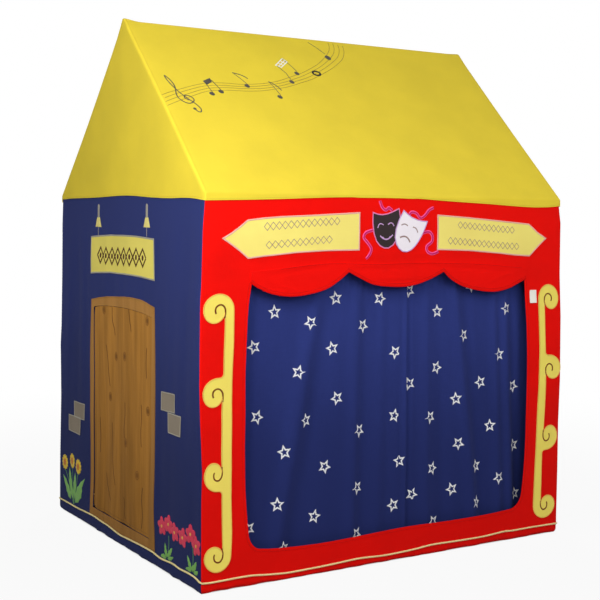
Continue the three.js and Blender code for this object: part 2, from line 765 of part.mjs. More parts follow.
function addFrontTrim() {
  const side = sides.front;
  const arrowMiddle = (eaveHeight - signTopMargin + valanceSeam + signBottomMargin) / 2;
  const maskMiddle = arrowMiddle + maskLift;
  for (const [name, flank] of Object.entries(flanks)) {
    addPatch(side, `arrow_sign_${name}`, patchOf(arrowShape(flank)), paleYellowCloth);
    addPatch(side, `scroll_${name}`, scrollGeometry(flank), paleYellowCloth);
  }
  const placed = (geometry, tilt, across) => geometry.rotateZ(tilt).translate(across, maskMiddle, 0);
  const mask = patchOf(maskShape(0));
  const cutter = extruded(maskShape(maskGap), patchThickness + 2 * overrun).translate(0, 0, -overrun);
  const light = placed(mask.clone(), lightMaskTilt, lightMaskOffset);
  const dark = cutBy(placed(mask, darkMaskTilt, darkMaskOffset), [
    placed(cutter, lightMaskTilt, lightMaskOffset),
  ]);
  addPatch(side, "mask_dark", dark, blackCloth);
  addPatch(side, "mask_light", light, whiteCloth);
  const tabLeft = openingHalf + tabMargin;
  const tabRight = houseWidth / 2 - scrollInset - scrollWidth - tabMargin;
  const tabTop = valanceSeam - tabDrop;
  const tab = rectangle(tabLeft, tabTop - tabHeight, tabRight, tabTop);
  addPatch(side, "side_tab", patchOf(tab), whiteCloth);
}

addFrame();
addHems();
addWalls();
addRoof();
addStage();
addStageDoor();
addFrontTrim();

export default house;
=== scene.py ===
import json
import math

import bpy
import numpy as np
from mathutils import Matrix, Vector, geometry, noise


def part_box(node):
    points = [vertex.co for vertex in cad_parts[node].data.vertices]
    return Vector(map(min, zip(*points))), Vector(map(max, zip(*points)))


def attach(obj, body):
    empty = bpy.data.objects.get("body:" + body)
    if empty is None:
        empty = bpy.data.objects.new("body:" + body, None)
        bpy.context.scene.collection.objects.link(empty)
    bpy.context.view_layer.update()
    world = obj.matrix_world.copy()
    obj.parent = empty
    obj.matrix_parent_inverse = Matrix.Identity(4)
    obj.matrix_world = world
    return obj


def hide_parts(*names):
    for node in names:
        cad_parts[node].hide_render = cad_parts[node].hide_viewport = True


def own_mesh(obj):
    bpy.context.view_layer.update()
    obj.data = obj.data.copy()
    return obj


# A cloth puppet theatre playhouse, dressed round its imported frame. Metres, z up. The stage faces -y
# and the stage door faces -x.
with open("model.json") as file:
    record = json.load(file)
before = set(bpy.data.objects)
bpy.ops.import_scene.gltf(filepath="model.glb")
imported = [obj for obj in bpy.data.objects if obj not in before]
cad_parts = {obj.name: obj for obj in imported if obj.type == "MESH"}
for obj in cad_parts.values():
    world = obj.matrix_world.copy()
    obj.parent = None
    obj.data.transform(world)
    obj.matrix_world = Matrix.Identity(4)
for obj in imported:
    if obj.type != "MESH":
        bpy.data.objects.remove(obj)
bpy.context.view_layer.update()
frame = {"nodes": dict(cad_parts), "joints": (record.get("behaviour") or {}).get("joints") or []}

wallLow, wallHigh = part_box("wall_front")
roofLow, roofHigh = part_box("roof_front")
rodLow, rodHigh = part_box("curtain_rod")
house = {
    "half": wallHigh.x,  # from the middle to the gable walls
    "depth": -wallLow.y,  # from the middle to the front and back walls
    "wallFoot": wallLow.z,
    "wallHead": 0.966,  # the walls end under the roof's fold
    "hem": 0.0271,  # height of the piping
    "eave": roofLow.z,
    "fold": 0.968,
    "ridge": roofHigh.z,
    "roofHalf": roofHigh.x,
    "roofDepth": -roofLow.y,
    "cornerRound": 0.007,
    "cloth": 0.0015,
    "patch": 0.0008,
    "rodY": (rodLow.y + rodHigh.y) / 2,
    "rodZ": (rodLow.z + rodHigh.z) / 2,
}
roofAngle = math.atan2(house["ridge"] - house["fold"], house["roofDepth"])
slopeLength = math.hypot(house["ridge"] - house["fold"], house["roofDepth"])
cornerInset = house["cornerRound"] * (1 - math.sqrt(0.5))  # from a corner to its rounded cloth


# Small sums that many pieces share. A line is a list of places, a loop is one whose ends meet.
def mm(value):
    # millimetres to metres, in a number or in lists of any depth
    if isinstance(value, dict):
        return {key: mm(part) for key, part in value.items()}
    if isinstance(value, (list, tuple)):
        return type(value)(mm(part) for part in value)
    return value / 1000


def smooth(share):
    share = max(0.0, min(1.0, share))
    return share * share * (3 - 2 * share)


def ripple(x, y, seed):
    return noise.noise(Vector((x, y, seed * 7.3)))


def curve(x, points):
    # height of a smooth line through a few points, at x
    return float(np.interp(x, [p[0] for p in points], [p[1] for p in points]))


def arc(centre, radii, start, end, steps):
    # points on an ellipse, angles in degrees, anticlockwise as seen from outside
    angles = [math.radians(start + (end - start) * k / steps) for k in range(steps + 1)]
    return [(centre[0] + radii[0] * math.cos(t), centre[1] + radii[1] * math.sin(t)) for t in angles]


def disc(centre, radii, sides=10):
    return arc(centre, radii, 0, 360 - 360 / sides, sides - 1)


def throughPoints(points, steps=6):
    # a smooth line through given points
    last = len(points) - 1
    line = []
    for i in range(last):
        pick = [points[max(0, min(last, i + k))] for k in (-1, 0, 1, 2)]
        for k in range(steps):
            t = k / steps
            line.append(tuple(
                0.5 * (2 * b + (c - a) * t + (2 * a - 5 * b + 4 * c - d) * t * t
                       + (3 * b - a - 3 * c + d) * t ** 3)
                for a, b, c, d in zip(*pick)))
    return line + [tuple(points[-1])]


def spread(points, step, closed=False):
    # the same line with a point at least every step
    ends = list(points) + ([points[0]] if closed else [])
    line = []
    for a, b in zip(ends, ends[1:]):
        length = math.dist(a, b)
        if length < 1e-6:
            continue
        count = max(1, math.ceil(length / step))
        line += [tuple(p + (q - p) * k / count for p, q in zip(a, b)) for k in range(count)]
    return line if closed else line + [tuple(ends[-1])]


def turned(points, centre, angle):
    c, s = math.cos(angle), math.sin(angle)
    return [(centre[0] + x * c - y * s, centre[1] + x * s + y * c) for x, y in points]


def mirrored(points):
    return [(-x, y) for x, y in reversed(points)]


def loopArea(points):
    return abs(sum(a[0] * b[1] - b[0] * a[1] for a, b in zip(points, points[1:] + points[:1]))) / 2


def contains(loop, x, y):
    # which of the places x, y lie inside a closed line
    hit = np.zeros(len(x), bool)
    for a, b in zip(loop, loop[1:] + loop[:1]):
        if a[1] != b[1]:
            crosses = (a[1] > y) != (b[1] > y)
            hit ^= crosses & (x < (b[0] - a[0]) * (y - a[1]) / (b[1] - a[1]) + a[0])
    return hit


# The faces of the house. Each has place(a, b, lift): a runs along it as seen from outside, b runs up
# it, and lift is the height over the cloth's outer side.
def cornerSpot(distance, inward):
    # cloth that turns a corner with a round edge: distance from the corner and depth in the wall
    radius = house["cornerRound"]
    if inward >= radius:
        return max(distance, inward), inward
    if distance >= radius:
        return distance, inward
    turn = math.asin(min(math.sin(math.pi / 4), (radius - distance) / radius))
    return radius - (radius - inward) * math.sin(turn), radius - (radius - inward) * math.cos(turn)


cornerSways = mm({  # how far the cloth stands out of line at each corner, by height
    (False, False): [(50, 0), (130, -1), (220, -2), (290, 0), (360, 4.5), (420, 9), (500, 12.5),
        (700, 12.5), (750, 9), (820, 7.5), (880, 6), (945, 0)],
    (True, False): [(50, 1), (180, 3), (320, 4), (450, 8), (630, 8), (750, 4), (900, 5), (945, 0)],
    (False, True): [(50, 0), (170, -1), (350, 0), (440, 1.5), (510, 3), (570, 1), (720, 0.5), (880, 1),
        (945, 0)],
    (True, True): [(50, 0), (250, 2), (600, 4), (800, 1), (945, 0)],
})


def swayed(point):
    away = math.hypot(house["half"] - abs(point.x), house["depth"] - abs(point.y))
    push = curve(point.z, cornerSways[point.x > 0, point.y > 0]) * (1 - smooth(away / 0.12))
    return point + Vector((math.copysign(push, point.x), math.copysign(push * 0.4, point.y), 0))


class Wall:
    def __init__(self, origin, along, half, look):
        self.origin = Vector(origin)
        self.along = Vector(along)
        self.up = Vector((0, 0, 1))
        self.out = self.along.cross(self.up)
        self.half = half
        self.look = look
        self.hemLine = throughPoints(look["hemLine"], 4)

    def relief(self, a, b):
        look = self.look
        seed = look["seed"]
        hang = smooth((b - 0.03) / 0.12) * smooth((0.955 - b) / look["headFade"])  # flat at foot and head
        swell = look["swell"] * ripple(a * look["across"], b * look["upward"], seed)
        fine = look["fine"] * ripple(a * look["across"] * 2.7, b * look["upward"] * 2.2, seed + 1)
        creases = sum(
            depth * math.exp(-((a - x - lean * (b - z)) / width) ** 2 - ((b - z) / height) ** 2)
            for x, z, lean, width, height, depth in look["creases"])
        return (swell + fine + creases) * hang * smooth((self.half - abs(a)) / 0.07)

    def place(self, a, b, lift=0.0):
        look = self.look
        inner = smooth((self.half - abs(a)) / 0.06) * smooth((b - 0.05) / 0.1) * smooth((0.95 - b) / 0.1)
        drift = look["drift"] * inner
        lift += self.relief(a, b)
        hem = curve(a, self.hemLine) - house["hem"]
        foot = smooth(b / 0.022) * (1 - smooth((b - 0.03) / 0.03))
        a, b = a + drift * ripple(a * 4, b * 6, 11), b + drift * ripple(a * 5, b * 4, 17) + hem * foot
        distance, inward = cornerSpot(self.half - abs(a), -lift)
        flat = self.along * math.copysign(self.half - distance, a) - self.out * inward
        return swayed(self.origin + flat + self.up * b)


wallLooks = {
    # swell and fine are the heights of broad and of small waves; across and upward count them a metre;
    # a crease is x, z, lean, width, height, depth; hemLine is where the piping runs
    "front": {
        "swell": 0.0036, "fine": 0.0012, "across": 3.4, "upward": 4.2, "seed": 2,
        "headFade": 0.14, "drift": 0.004,
        "hemLine": mm([(-582, 27.5), (-550, 25.5), (-490, 26.4), (-440, 26), (-400, 22), (-340, 17.5),
            (-280, 17.8), (-220, 18.7), (-150, 21.5), (-115, 22.2), (-60, 19.5), (-20, 18.7), (60, 21.2),
            (120, 25.2), (200, 23.8), (300, 23.2), (375, 27.2), (410, 25.6), (480, 26), (582, 24.8)]),
        "creases": [(-0.3, 0.8, 0, 0.26, 0.008, -0.0016), (0.28, 0.8, 0, 0.3, 0.007, -0.0018),
            (-0.05, 0.812, 0, 0.2, 0.006, 0.0012), (0.36, 0.05, 0, 0.16, 0.012, -0.0025),
            (-0.2, 0.055, 0, 0.2, 0.012, -0.002), (0.15, 0.05, 0, 0.12, 0.014, 0.002)]},
    "left": {
        "swell": 0.0052, "fine": 0.0028, "across": 7.5, "upward": 1.5, "seed": 5,
        "headFade": 0.2, "drift": 0.004,
        "hemLine": mm([(-486, 32), (-430, 32.9), (-330, 33.6), (-280, 35.8), (-200, 38.5), (-140, 36),
            (-90, 35), (-10, 29.2), (30, 30.5), (80, 32.5), (150, 35), (210, 35.5), (260, 31.5), (330, 36),
            (370, 33.5), (420, 35.5), (460, 34), (486, 27.5)]),
        "creases": [(0.22, 0.2, 0.04, 0.02, 0.16, 0.003), (-0.02, 0.71, 0.1, 0.02, 0.03, 0.0015),
            (0.33, 0.45, -0.03, 0.03, 0.2, -0.002), (-0.3, 0.6, 0.05, 0.025, 0.2, 0.0025)]},
    "back": {
        "swell": 0.0052, "fine": 0.0024, "across": 5.5, "upward": 1.6, "seed": 8,
        "headFade": 0.2, "drift": 0.003,
        "hemLine": mm([(-582, 26.5), (-400, 30), (-250, 27.5), (-50, 32.5), (120, 29), (300, 33), (450, 30),
            (582, 32)]),
        "creases": [(-0.1, 0.4, 0.1, 0.03, 0.25, 0.003), (0.3, 0.5, -0.08, 0.03, 0.2, -0.003)]},
    "right": {
        "swell": 0.0052, "fine": 0.0024, "across": 6, "upward": 1.5, "seed": 12,
        "headFade": 0.2, "drift": 0.003,
        "hemLine": mm([(-486, 24.8), (-300, 29.5), (-120, 27), (80, 31.5), (250, 28), (400, 31),
            (486, 26.5)]),
        "creases": [(0.1, 0.4, -0.1, 0.03, 0.25, 0.003), (-0.2, 0.5, 0.08, 0.03, 0.2, -0.003)]},
}
walls = {}
for name, x, y in (("front", 0, -1), ("back", 0, 1), ("left", -1, 0), ("right", 1, 0)):
    origin = (x * house["half"], y * house["depth"], 0)
    walls[name] = Wall(origin, (-y, x, 0), house["depth" if x else "half"], wallLooks[name])

roof = {
    "foldRound": 0.012,
    "ridgeRound": 0.012,
    "sag": 0.007,
    "swell": {"slope": 0.0035, "gable": 0.004},  # heights of the cloth's broad waves
    "fine": 0.0012,  # and of its small ones
    "bumps": {"left": 0.006, "right": 0.002},  # how far the pole's ends lift the ridge
    "push": 0.009,  # and how far they push the gables out
    "hemEdges": mm({  # lower edge of the hem, along each side as seen from outside
        "front": [(-583, 948), (-402, 953), (-232, 961), (-100, 964), (8, 964.5), (70, 963), (160, 957),
            (261, 954), (370, 949), (457, 944), (530, 944), (583, 950)],
        "back": [(-583, 948), (-300, 954), (50, 957), (350, 951), (583, 948)],
        "left": [(-488, 956), (-440, 959), (-391, 960), (-226, 960), (-90, 963), (-10, 965), (60, 964),
            (170, 958), (300, 954), (391, 956), (450, 953), (488, 948)],
        "right": [(-488, 948), (-200, 956), (100, 958), (350, 952), (488, 948)],
    }),
}


def hemEdge(side, a):
    points = roof["hemEdges"][side]
    steps = np.linspace(points[0][0], points[-1][0], 25)
    heights = np.interp(steps, [p[0] for p in points], [p[1] for p in points])
    eased = np.convolve(np.pad(heights, 1, mode="edge"), (0.25, 0.5, 0.25), mode="valid")
    eased[0], eased[-1] = points[0][1], points[-1][1]
    return float(np.interp(a, steps, eased))


def edgeDrop(distance):
    # how far cloth falls back where it turns over an edge of the roof
    radius = house["cornerRound"]
    return radius - math.sqrt(radius ** 2 - min(radius, max(0.0, radius - distance)) ** 2)


def ridgeBump(x, b):
    # the pole's ends push the ridge up
    bump = roof["bumps"]["left" if x < 0 else "right"]
    return bump * smooth((abs(x) - 0.535) / 0.045) * smooth((b - slopeLength + 0.07) / 0.07)


def endPush(z):
    # and they push the top of each gable out
    below = max(0.0, house["ridge"] - z)
    return roof["push"] * (0.45 * math.exp(-below / 0.05) + 0.55 * smooth(1 - below / 0.34))


class Slope:
    # b runs up the slope from the fold at the eave; below it, b runs down the hem
    def __init__(self, sign):
        self.sign = sign
        self.bend = math.pi / 2 - roofAngle
        self.tangent = roof["foldRound"] * math.tan(self.bend / 2)
        self.ridgeTangent = roof["ridgeRound"] * math.tan(roofAngle / 2)

    def profile(self, b):
        # place on the slope's outer side as depth from the middle and height, and its direction
        depth, fold = house["roofDepth"], house["fold"]
        ridgeTurn = slopeLength - 2 * self.ridgeTangent
        if b < -self.tangent:
            return depth, fold + b, 0.0
        if b < self.tangent:
            turn = self.bend * (b + self.tangent) / (2 * self.tangent)
            radius = roof["foldRound"]
            return (depth - radius * (1 - math.cos(turn)),
                    fold - self.tangent + radius * math.sin(turn), turn)
        run = min(b, ridgeTurn)
        y = depth - run * math.cos(roofAngle)
        z = fold + run * math.sin(roofAngle)
        if b <= ridgeTurn:
            return y, z, self.bend
        turn = roofAngle * (b - ridgeTurn) / (slopeLength - ridgeTurn)
        radius = y / math.sin(roofAngle)
        return (radius * math.sin(roofAngle - turn),
                z + radius * (math.cos(roofAngle - turn) - math.cos(roofAngle)), self.bend + turn)

    def relief(self, a, b):
        if b <= 0.0:
            return 0.0
        inner = smooth((house["roofHalf"] - abs(a)) / 0.1) * smooth(b / 0.08)
        inner *= smooth((slopeLength - b) / 0.06)
        sag = roof["sag"] * math.sin(math.pi * min(1, b / slopeLength)) * math.cos(a * 2.4)
        seed = 20 + 3 * self.sign
        wave = roof["swell"]["slope"] * ripple(a * 2.6, b * 3.4, seed)
        wave += roof["fine"] * ripple(a * 8, b * 5, seed + 1)
        return (wave - sag) * inner

    def place(self, a, b, lift=0.0):
        y, z, turn = self.profile(b)
        lift += self.relief(a, b) - edgeDrop(house["roofHalf"] - abs(a))
        z += ridgeBump(-self.sign * a, b)
        x = -self.sign * (a + math.copysign(endPush(z) * smooth((abs(a) - 0.49) / 0.09), a))
        return Vector((x, self.sign * (y + lift * math.cos(turn)), z + lift * math.sin(turn)))


class Gable:
    # the upright triangle under the roof's end, b measured from the floor
    def __init__(self, sign):
        self.sign = sign

    def inset(self, a, b):
        # distance in from the roof's edge
        across = house["roofDepth"] - abs(a)
        rise = b - house["fold"] - ridgeBump(self.sign * house["roofHalf"], across / math.cos(roofAngle))
        under = across * math.sin(roofAngle) - rise * math.cos(roofAngle)
        return min(across, under)

    def place(self, a, b, lift=0.0):
        inset = self.inset(a, b)
        seed = 30 + self.sign
        wave = roof["swell"]["gable"] * ripple(a * 5, b * 2.2, seed)
        wave += roof["fine"] * ripple(a * 13, b * 5, seed + 1)
        wave *= smooth((inset - 0.01) / 0.08) * smooth((b - 0.965) / 0.05)
        lift += wave - edgeDrop(inset) + endPush(b)
        return Vector((self.sign * (house["roofHalf"] + lift), self.sign * a, b))


slopes = {"front": Slope(-1), "back": Slope(1)}
gables = {"left": Gable(-1), "right": Gable(1)}


class Lifted:
    # another face with more height: rise is a number, or a function of a and b
    def __init__(self, face, rise):
        self.face = face
        self.rise = rise

    def place(self, a, b, lift=0.0):
        rise = self.rise(a, b) if callable(self.rise) else self.rise
        return self.face.place(a, b, lift + rise)


# Making meshes
def selected(piece):
    bpy.ops.object.select_all(action="DESELECT")
    piece.select_set(True)
    bpy.context.view_layer.objects.active = piece


def addPiece(name, points, faces, uvs, material):
    mesh = bpy.data.meshes.new(name)
    mesh.from_pydata([tuple(p) for p in points], [], faces)
    layer = mesh.uv_layers.new(name="UVMap")
    corners = np.array([loop.vertex_index for loop in mesh.loops])
    layer.data.foreach_set("uv", np.array(uvs, np.float32)[corners].ravel())
    mesh.polygons.foreach_set("use_smooth", np.ones(len(mesh.polygons), bool))
    mesh.materials.append(material)
    mesh.validate()
    piece = bpy.data.objects.new(name, mesh)
    bpy.context.scene.collection.objects.link(piece)
    return piece


def finished(piece, thickness=None, offset=-1.0, angle=40):
    # gives cloth its thickness, applies it and keeps its edges crisp
    selected(piece)
    if thickness:
        solid = piece.modifiers.new("thickness", "SOLIDIFY")
        solid.thickness = thickness
        solid.offset = offset
        bpy.ops.object.modifier_apply(modifier=solid.name)
    bpy.ops.object.shade_smooth_by_angle(angle=math.radians(angle))
    return piece


def fitted(piece, body="house", replaces=()):
    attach(piece, body)
    if replaces:
        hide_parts(*replaces)
    return piece


def insideOf(loops, x, y):
    # inside the outline and outside its holes
    inside = contains(loops[0], x, y)
    for loop in loops[1:]:
        inside &= ~contains(loop, x, y)
    return inside


def clothFrom(name, face, outline, material, holes=(), guides=(), spacing=0.01, lift=0.0):
    # a flat cut of cloth laid on a face, as one sheet of small triangles
    loops = [spread(loop, spacing, True) for loop in (outline, *holes)]
    points, edges = [], []
    for loop in loops:
        first = len(points)
        points += loop
        edges += [(first + i, first + (i + 1) % len(loop)) for i in range(len(loop))]
    for guide in guides:
        points += spread(guide, spacing)
    fixed = np.array(points)
    low, high = fixed.min(0), fixed.max(0)
    columns = np.arange(low[0] + spacing / 2, high[0], spacing)
    rows = np.arange(low[1] + spacing / 2, high[1], spacing * 0.87)
    x = np.concatenate([columns + (spacing / 2 if k % 2 else 0) for k in range(len(rows))])
    y = np.repeat(rows, len(columns))
    keep = insideOf(loops, x, y)
    x, y = x[keep], y[keep]
    near = np.full(len(x), np.inf)
    for start in range(0, len(fixed), 400):
        block = fixed[start:start + 400]
        gap = np.hypot(x[:, None] - block[:, 0], y[:, None] - block[:, 1]).min(1)
        near = np.minimum(near, gap)
    points += [(float(p), float(q)) for p, q in zip(x[near > spacing * 0.55], y[near > spacing * 0.55])]
    flat = [Vector(p) for p in points]
    verts, _, faces, *_ = geometry.delaunay_2d_cdt(flat, edges, [], 0, 1e-7)
    at = np.array([(v.x, v.y) for v in verts])
    centres = np.array([at[list(f)].mean(0) for f in faces])
    keep = insideOf(loops, centres[:, 0], centres[:, 1])
    faces = [list(f) for f, k in zip(faces, keep) if k]
    used = sorted({i for f in faces for i in f})
    index = {old: new for new, old in enumerate(used)}
    faces = [[index[i] for i in f] for f in faces]
    return addPiece(name, [face.place(*at[i], lift) for i in used], faces, at[used], material)


def gridCloth(name, place, columns, rows, material, flat):
    # a sheet from a grid of places; flat gives the cloth's own coordinates
    points = [place(u, v) for v in rows for u in columns]
    uvs = [flat(u, v) for v in rows for u in columns]
    wide = len(columns)
    faces = [[k, k + 1, k + wide + 1, k + wide]
             for k in range(wide * (len(rows) - 1)) if k % wide < wide - 1]
    return addPiece(name, points, faces, uvs, material)


def edgeColumns(half, distances, count):
    # places across a sheet from corner to corner: close together where it turns the corners
    near = half - cornerInset
    bend = [half - distance for distance in mm(distances)]
    inner = list(np.linspace(-bend[-1], bend[-1], count))[1:-1]
    return [-near, *[-x for x in bend], *inner, *reversed(bend), near]


class Stitching:
    # embroidery in one thread colour, gathered into one mesh
    bed = 0.0002  # the thread starts this far inside the cloth

    def __init__(self, face, lift=0.0):
        self.face = face
        self.lift = lift
        self.points = []
        self.faces = []
        self.uvs = []

    def line(self, points, width, height=0.0006, closed=False):
        # a row of satin stitches: domed across, and it follows the cloth
        section = [(-1, -self.bed), (-0.85, height * 0.5), (-0.4, height * 0.93), (0.4, height * 0.93),
                   (0.85, height * 0.5), (1, -self.bed)]
        line = [Vector(p) for p in points]
        count, first, run = len(line), len(self.points), 0.0
        for i, p in enumerate(line):
            before = line[i - 1] if closed or i else None
            after = line[(i + 1) % count] if closed or i < count - 1 else None
            into = (p - before).normalized() if before is not None else (after - p).normalized()
            onward = (after - p).normalized() if after is not None else into
            tangent = (into + onward).normalized()
            side = Vector((-tangent.y, tangent.x))
            reach = width / 2 / max(0.4, side.dot(Vector((-onward.y, onward.x))))
            run += (p - before).length if i else 0.0
            for across, rise in section:
                spot = p + side * (across * reach)
                self.points.append(self.face.place(spot.x, spot.y, self.lift + rise))
                self.uvs.append((run, across * width / 2))
        ring = len(section)
        for i in range(count if closed else count - 1):
            a, b = first + i * ring, first + (i + 1) % count * ring
            self.faces += [[a + k, b + k, b + (k + 1) % ring, a + (k + 1) % ring] for k in range(ring)]
        if not closed:
            self.faces.append([first + k for k in range(ring)])
            self.faces.append([first + (count - 1) * ring + k for k in reversed(range(ring))])

    def shape(self, loop, height=0.0008):
        # a filled, domed shape
        middle = [sum(values) / len(loop) for values in zip(*loop)]
        first, count = len(self.points), len(loop)
        for size, rise in ((1, -self.bed), (0.94, height * 0.6), (0.6, height)):
            for p in loop:
                spot = (middle[0] + (p[0] - middle[0]) * size, middle[1] + (p[1] - middle[1]) * size)
                self.points.append(self.face.place(*spot, self.lift + rise))
                self.uvs.append(spot)
        self.points.append(self.face.place(*middle, self.lift + height * 1.05))
        self.uvs.append(middle)
        for k in range(count):
            n = (k + 1) % count
            for r in (first, first + count):
                self.faces.append([r + k, r + n, r + count + n, r + count + k])
            self.faces.append([first + 2 * count + k, first + 2 * count + n, first + 3 * count])
        self.faces.append([first + k for k in reversed(range(count))])

    def row(self, points, closed=False, pitch=0.0045, length=0.0028, width=0.0009):
        # running stitches along a line
        path = spread(points, pitch, closed)
        for a, b in zip(path, path[1:]):
            gap = math.dist(a, b)
            if gap > length * 0.9:
                t = length / gap
                self.line([a, (a[0] + (b[0] - a[0]) * t, a[1] + (b[1] - a[1]) * t)], width, 0.0005)

    def sewn(self, name, material, slot, body="house"):
        piece = addPiece(name, self.points, self.faces, self.uvs, material)
        return fitted(finished(piece, angle=50), body)


# Materials
def colour(red, green, blue):
    # a colour as a paint chart gives it, made linear
    return tuple((c / 255) ** 2.2 for c in (red, green, blue)) + (1.0,)


class Shade:
    # a socket of a material, so that sums of sockets can be written as plain expressions
    def __init__(self, tree, socket=None):
        self.tree = tree
        self.socket = socket

    def node(self, kind, settings=None, inputs=None, output=0):
        made = self.tree.nodes.new(kind)
        for key, value in (settings or {}).items():
            setattr(made, key, value)
        for key, value in (inputs or {}).items():
            if isinstance(value, Shade):
                self.tree.links.new(value.socket, made.inputs[key])
            else:
                made.inputs[key].default_value = value
        return Shade(self.tree, made.outputs[output] if made.outputs else None)

    def math(self, operation, *others):
        return self.node("ShaderNodeMath", {"operation": operation}, dict(enumerate((self, *others))))

    def __add__(self, other):
        return self.math("ADD", other)

    def __mul__(self, other):
        return self.math("MULTIPLY", other)

    __radd__ = __add__

    def part(self, axis):
        return self.node("ShaderNodeSeparateXYZ", inputs={"Vector": self}, output=axis)

    def noise(self, scale, detail=2.0, stretch=(1, 1, 1)):
        # smooth noise from 0 to 1 at this place
        place = self.node("ShaderNodeMapping", inputs={"Vector": self, "Scale": stretch})
        return self.node("ShaderNodeTexNoise", inputs={"Vector": place, "Scale": scale, "Detail": detail})

    def between(self, low, high):
        return self.node("ShaderNodeMapRange", {"interpolation_type": "SMOOTHSTEP"},
                         {"Value": self, "From Min": low, "From Max": high})

    def mixed(self, first, second):
        return self.node("ShaderNodeMix", {"data_type": "RGBA"}, {"Factor": self, 6: first, 7: second}, 2)


def newMaterial(name, surface):
    # an empty material with its shader set from a dictionary of plain values
    material = bpy.data.materials.new(name)
    material.use_nodes = True
    tree = material.node_tree
    shader = tree.nodes["Principled BSDF"]
    for key, value in surface.items():
        shader.inputs[key].default_value = value
    return material, Shade(tree), shader


def joinTo(shade, shader, key):
    shade.tree.links.new(shade.socket, shader.inputs[key])


def bumped(shader, height, distance):
    bump = height.node("ShaderNodeBump", inputs={"Height": height, "Distance": distance, "Strength": 1.0})
    joinTo(bump, shader, "Normal")


clothLook = {"Roughness": 0.9, "Sheen Weight": 0.02, "Sheen Roughness": 0.5, "Specular IOR Level": 0.06}
yarn = 0.0006  # from one thread of the cloth to the next


def toned(base, factor):
    return tuple(min(1.0, c * factor) for c in base[:3]) + (1.0,)


def onCloth(shade):
    # the cloth's own coordinates, and its over and under threads
    place = shade.node("ShaderNodeUVMap", {"uv_map": "UVMap"})
    warp, weft = ((place.part(axis) * (math.pi / yarn)).math("SINE") for axis in (0, 1))
    return place, warp * weft


def clothMaterial(name, base, tone=0.05, soft=0.3, stretch=(1, 1, 1), paintedShade=0.0):
    # plain woven cotton: threads, slubs, and a tone that wanders a little; the last argument is painted
    # shade: how much of the tone goes with the height, darker towards the foot
    material, shade, shader = newMaterial(name, clothLook)
    place, weave = onCloth(shade)
    slub = place.noise(260, 3, (1, 0.12, 1)) + place.noise(260, 3, (0.12, 1, 1))
    cloud = place.noise(7, 3, stretch)
    blend = cloud * (0.75 - paintedShade) + slub * 0.1 + weave * 0.05
    # painted shade: the tone darkens towards the cloth's foot
    if paintedShade:
        blend = blend + place.part(1).between(0.02, 0.85) * paintedShade
    mixed = blend.between(0.25, 0.75).mixed(toned(base, 1 - tone), toned(base, 1 + tone))
    joinTo(mixed, shader, "Base Color")
    joinTo(cloud * 0.1 + 0.8, shader, "Roughness")
    creases = place.noise(16, 4, stretch)
    bumped(shader, weave * 0.12 + slub * 0.1 + creases * soft, 0.0008)
    return material


def threadMaterial(name, base, shine):
    # satin stitch: fine threads lie side by side across the line
    material, shade, shader = newMaterial(name, {"Roughness": shine, "Specular IOR Level": 0.15})
    place = shade.node("ShaderNodeUVMap", {"uv_map": "UVMap"})
    strands = (place.part(0) * (2 * math.pi / 0.0007)).math("SINE")
    wander = place.noise(140, 2)
    mixed = (strands * 0.25 + wander).between(0.2, 0.8).mixed(toned(base, 0.94), base)
    joinTo(mixed, shader, "Base Color")
    bumped(shader, strands * 0.5 + wander * 0.3, 0.0003)
    return material


def doorMaterial(name, base, deep, reach):
    # brown cotton, printed with soft streaks of wood, and painted shade that darkens it towards its foot
    material, shade, shader = newMaterial(name, clothLook)
    place, weave = onCloth(shade)
    streaks, bands, fine = (place.noise(scale, detail, (1, slim, 1))
                            for scale, detail, slim in ((34, 3, 0.07), (11, 2, 0.05), (150, 2, 0.06)))
    grain = (streaks * 0.5 + bands * 0.35 + fine * 0.15).between(0.33, 0.67)
    # painted shade: the cloth turns towards the deep brown at its foot
    height = place.part(1).between(0.02, 0.62)
    mixed = (grain * reach * 0.6 + height * 0.45 + (1 - reach) * 0.3).mixed(deep, base)
    joinTo(mixed, shader, "Base Color")
    bumped(shader, weave * 0.12 + fine * 0.2, 0.0008)
    return material


def woodMaterial(name, turn):
    # sanded pale wood, its grain along the pole
    material, shade, shader = newMaterial(name, {"Roughness": 0.55, "Coat Weight": 0.1})
    place = shade.node("ShaderNodeTexCoord", output="Object")
    place = place.node("ShaderNodeMapping", inputs={"Vector": place, "Rotation": turn})
    rings = place.noise(60, 3, (0.04, 1, 1))
    pores = place.noise(900, 1, (0.03, 1, 1))
    grain = (rings * 0.8 + pores * 0.2).between(0.3, 0.7)
    joinTo(grain.mixed(colour(178, 132, 78), colour(222, 184, 130)), shader, "Base Color")
    joinTo(rings * 0.25 + 0.42, shader, "Roughness")
    bumped(shader, pores, 0.0002)
    return material


def plasticMaterial(name):
    # moulded plastic with a fine spark-eroded grain and a little dust
    material, shade, shader = newMaterial(name, {"Roughness": 0.42, "Specular IOR Level": 0.45})
    place = shade.node("ShaderNodeTexCoord", output="Object")
    grain = place.noise(1500, 1)
    cloud = place.noise(25, 3)
    mixed = cloud.between(0.3, 0.75).mixed(colour(224, 221, 211), colour(236, 234, 228))
    joinTo(mixed, shader, "Base Color")
    joinTo(cloud * 0.12 + 0.36, shader, "Roughness")
    bumped(shader, grain, 0.0001)
    return material


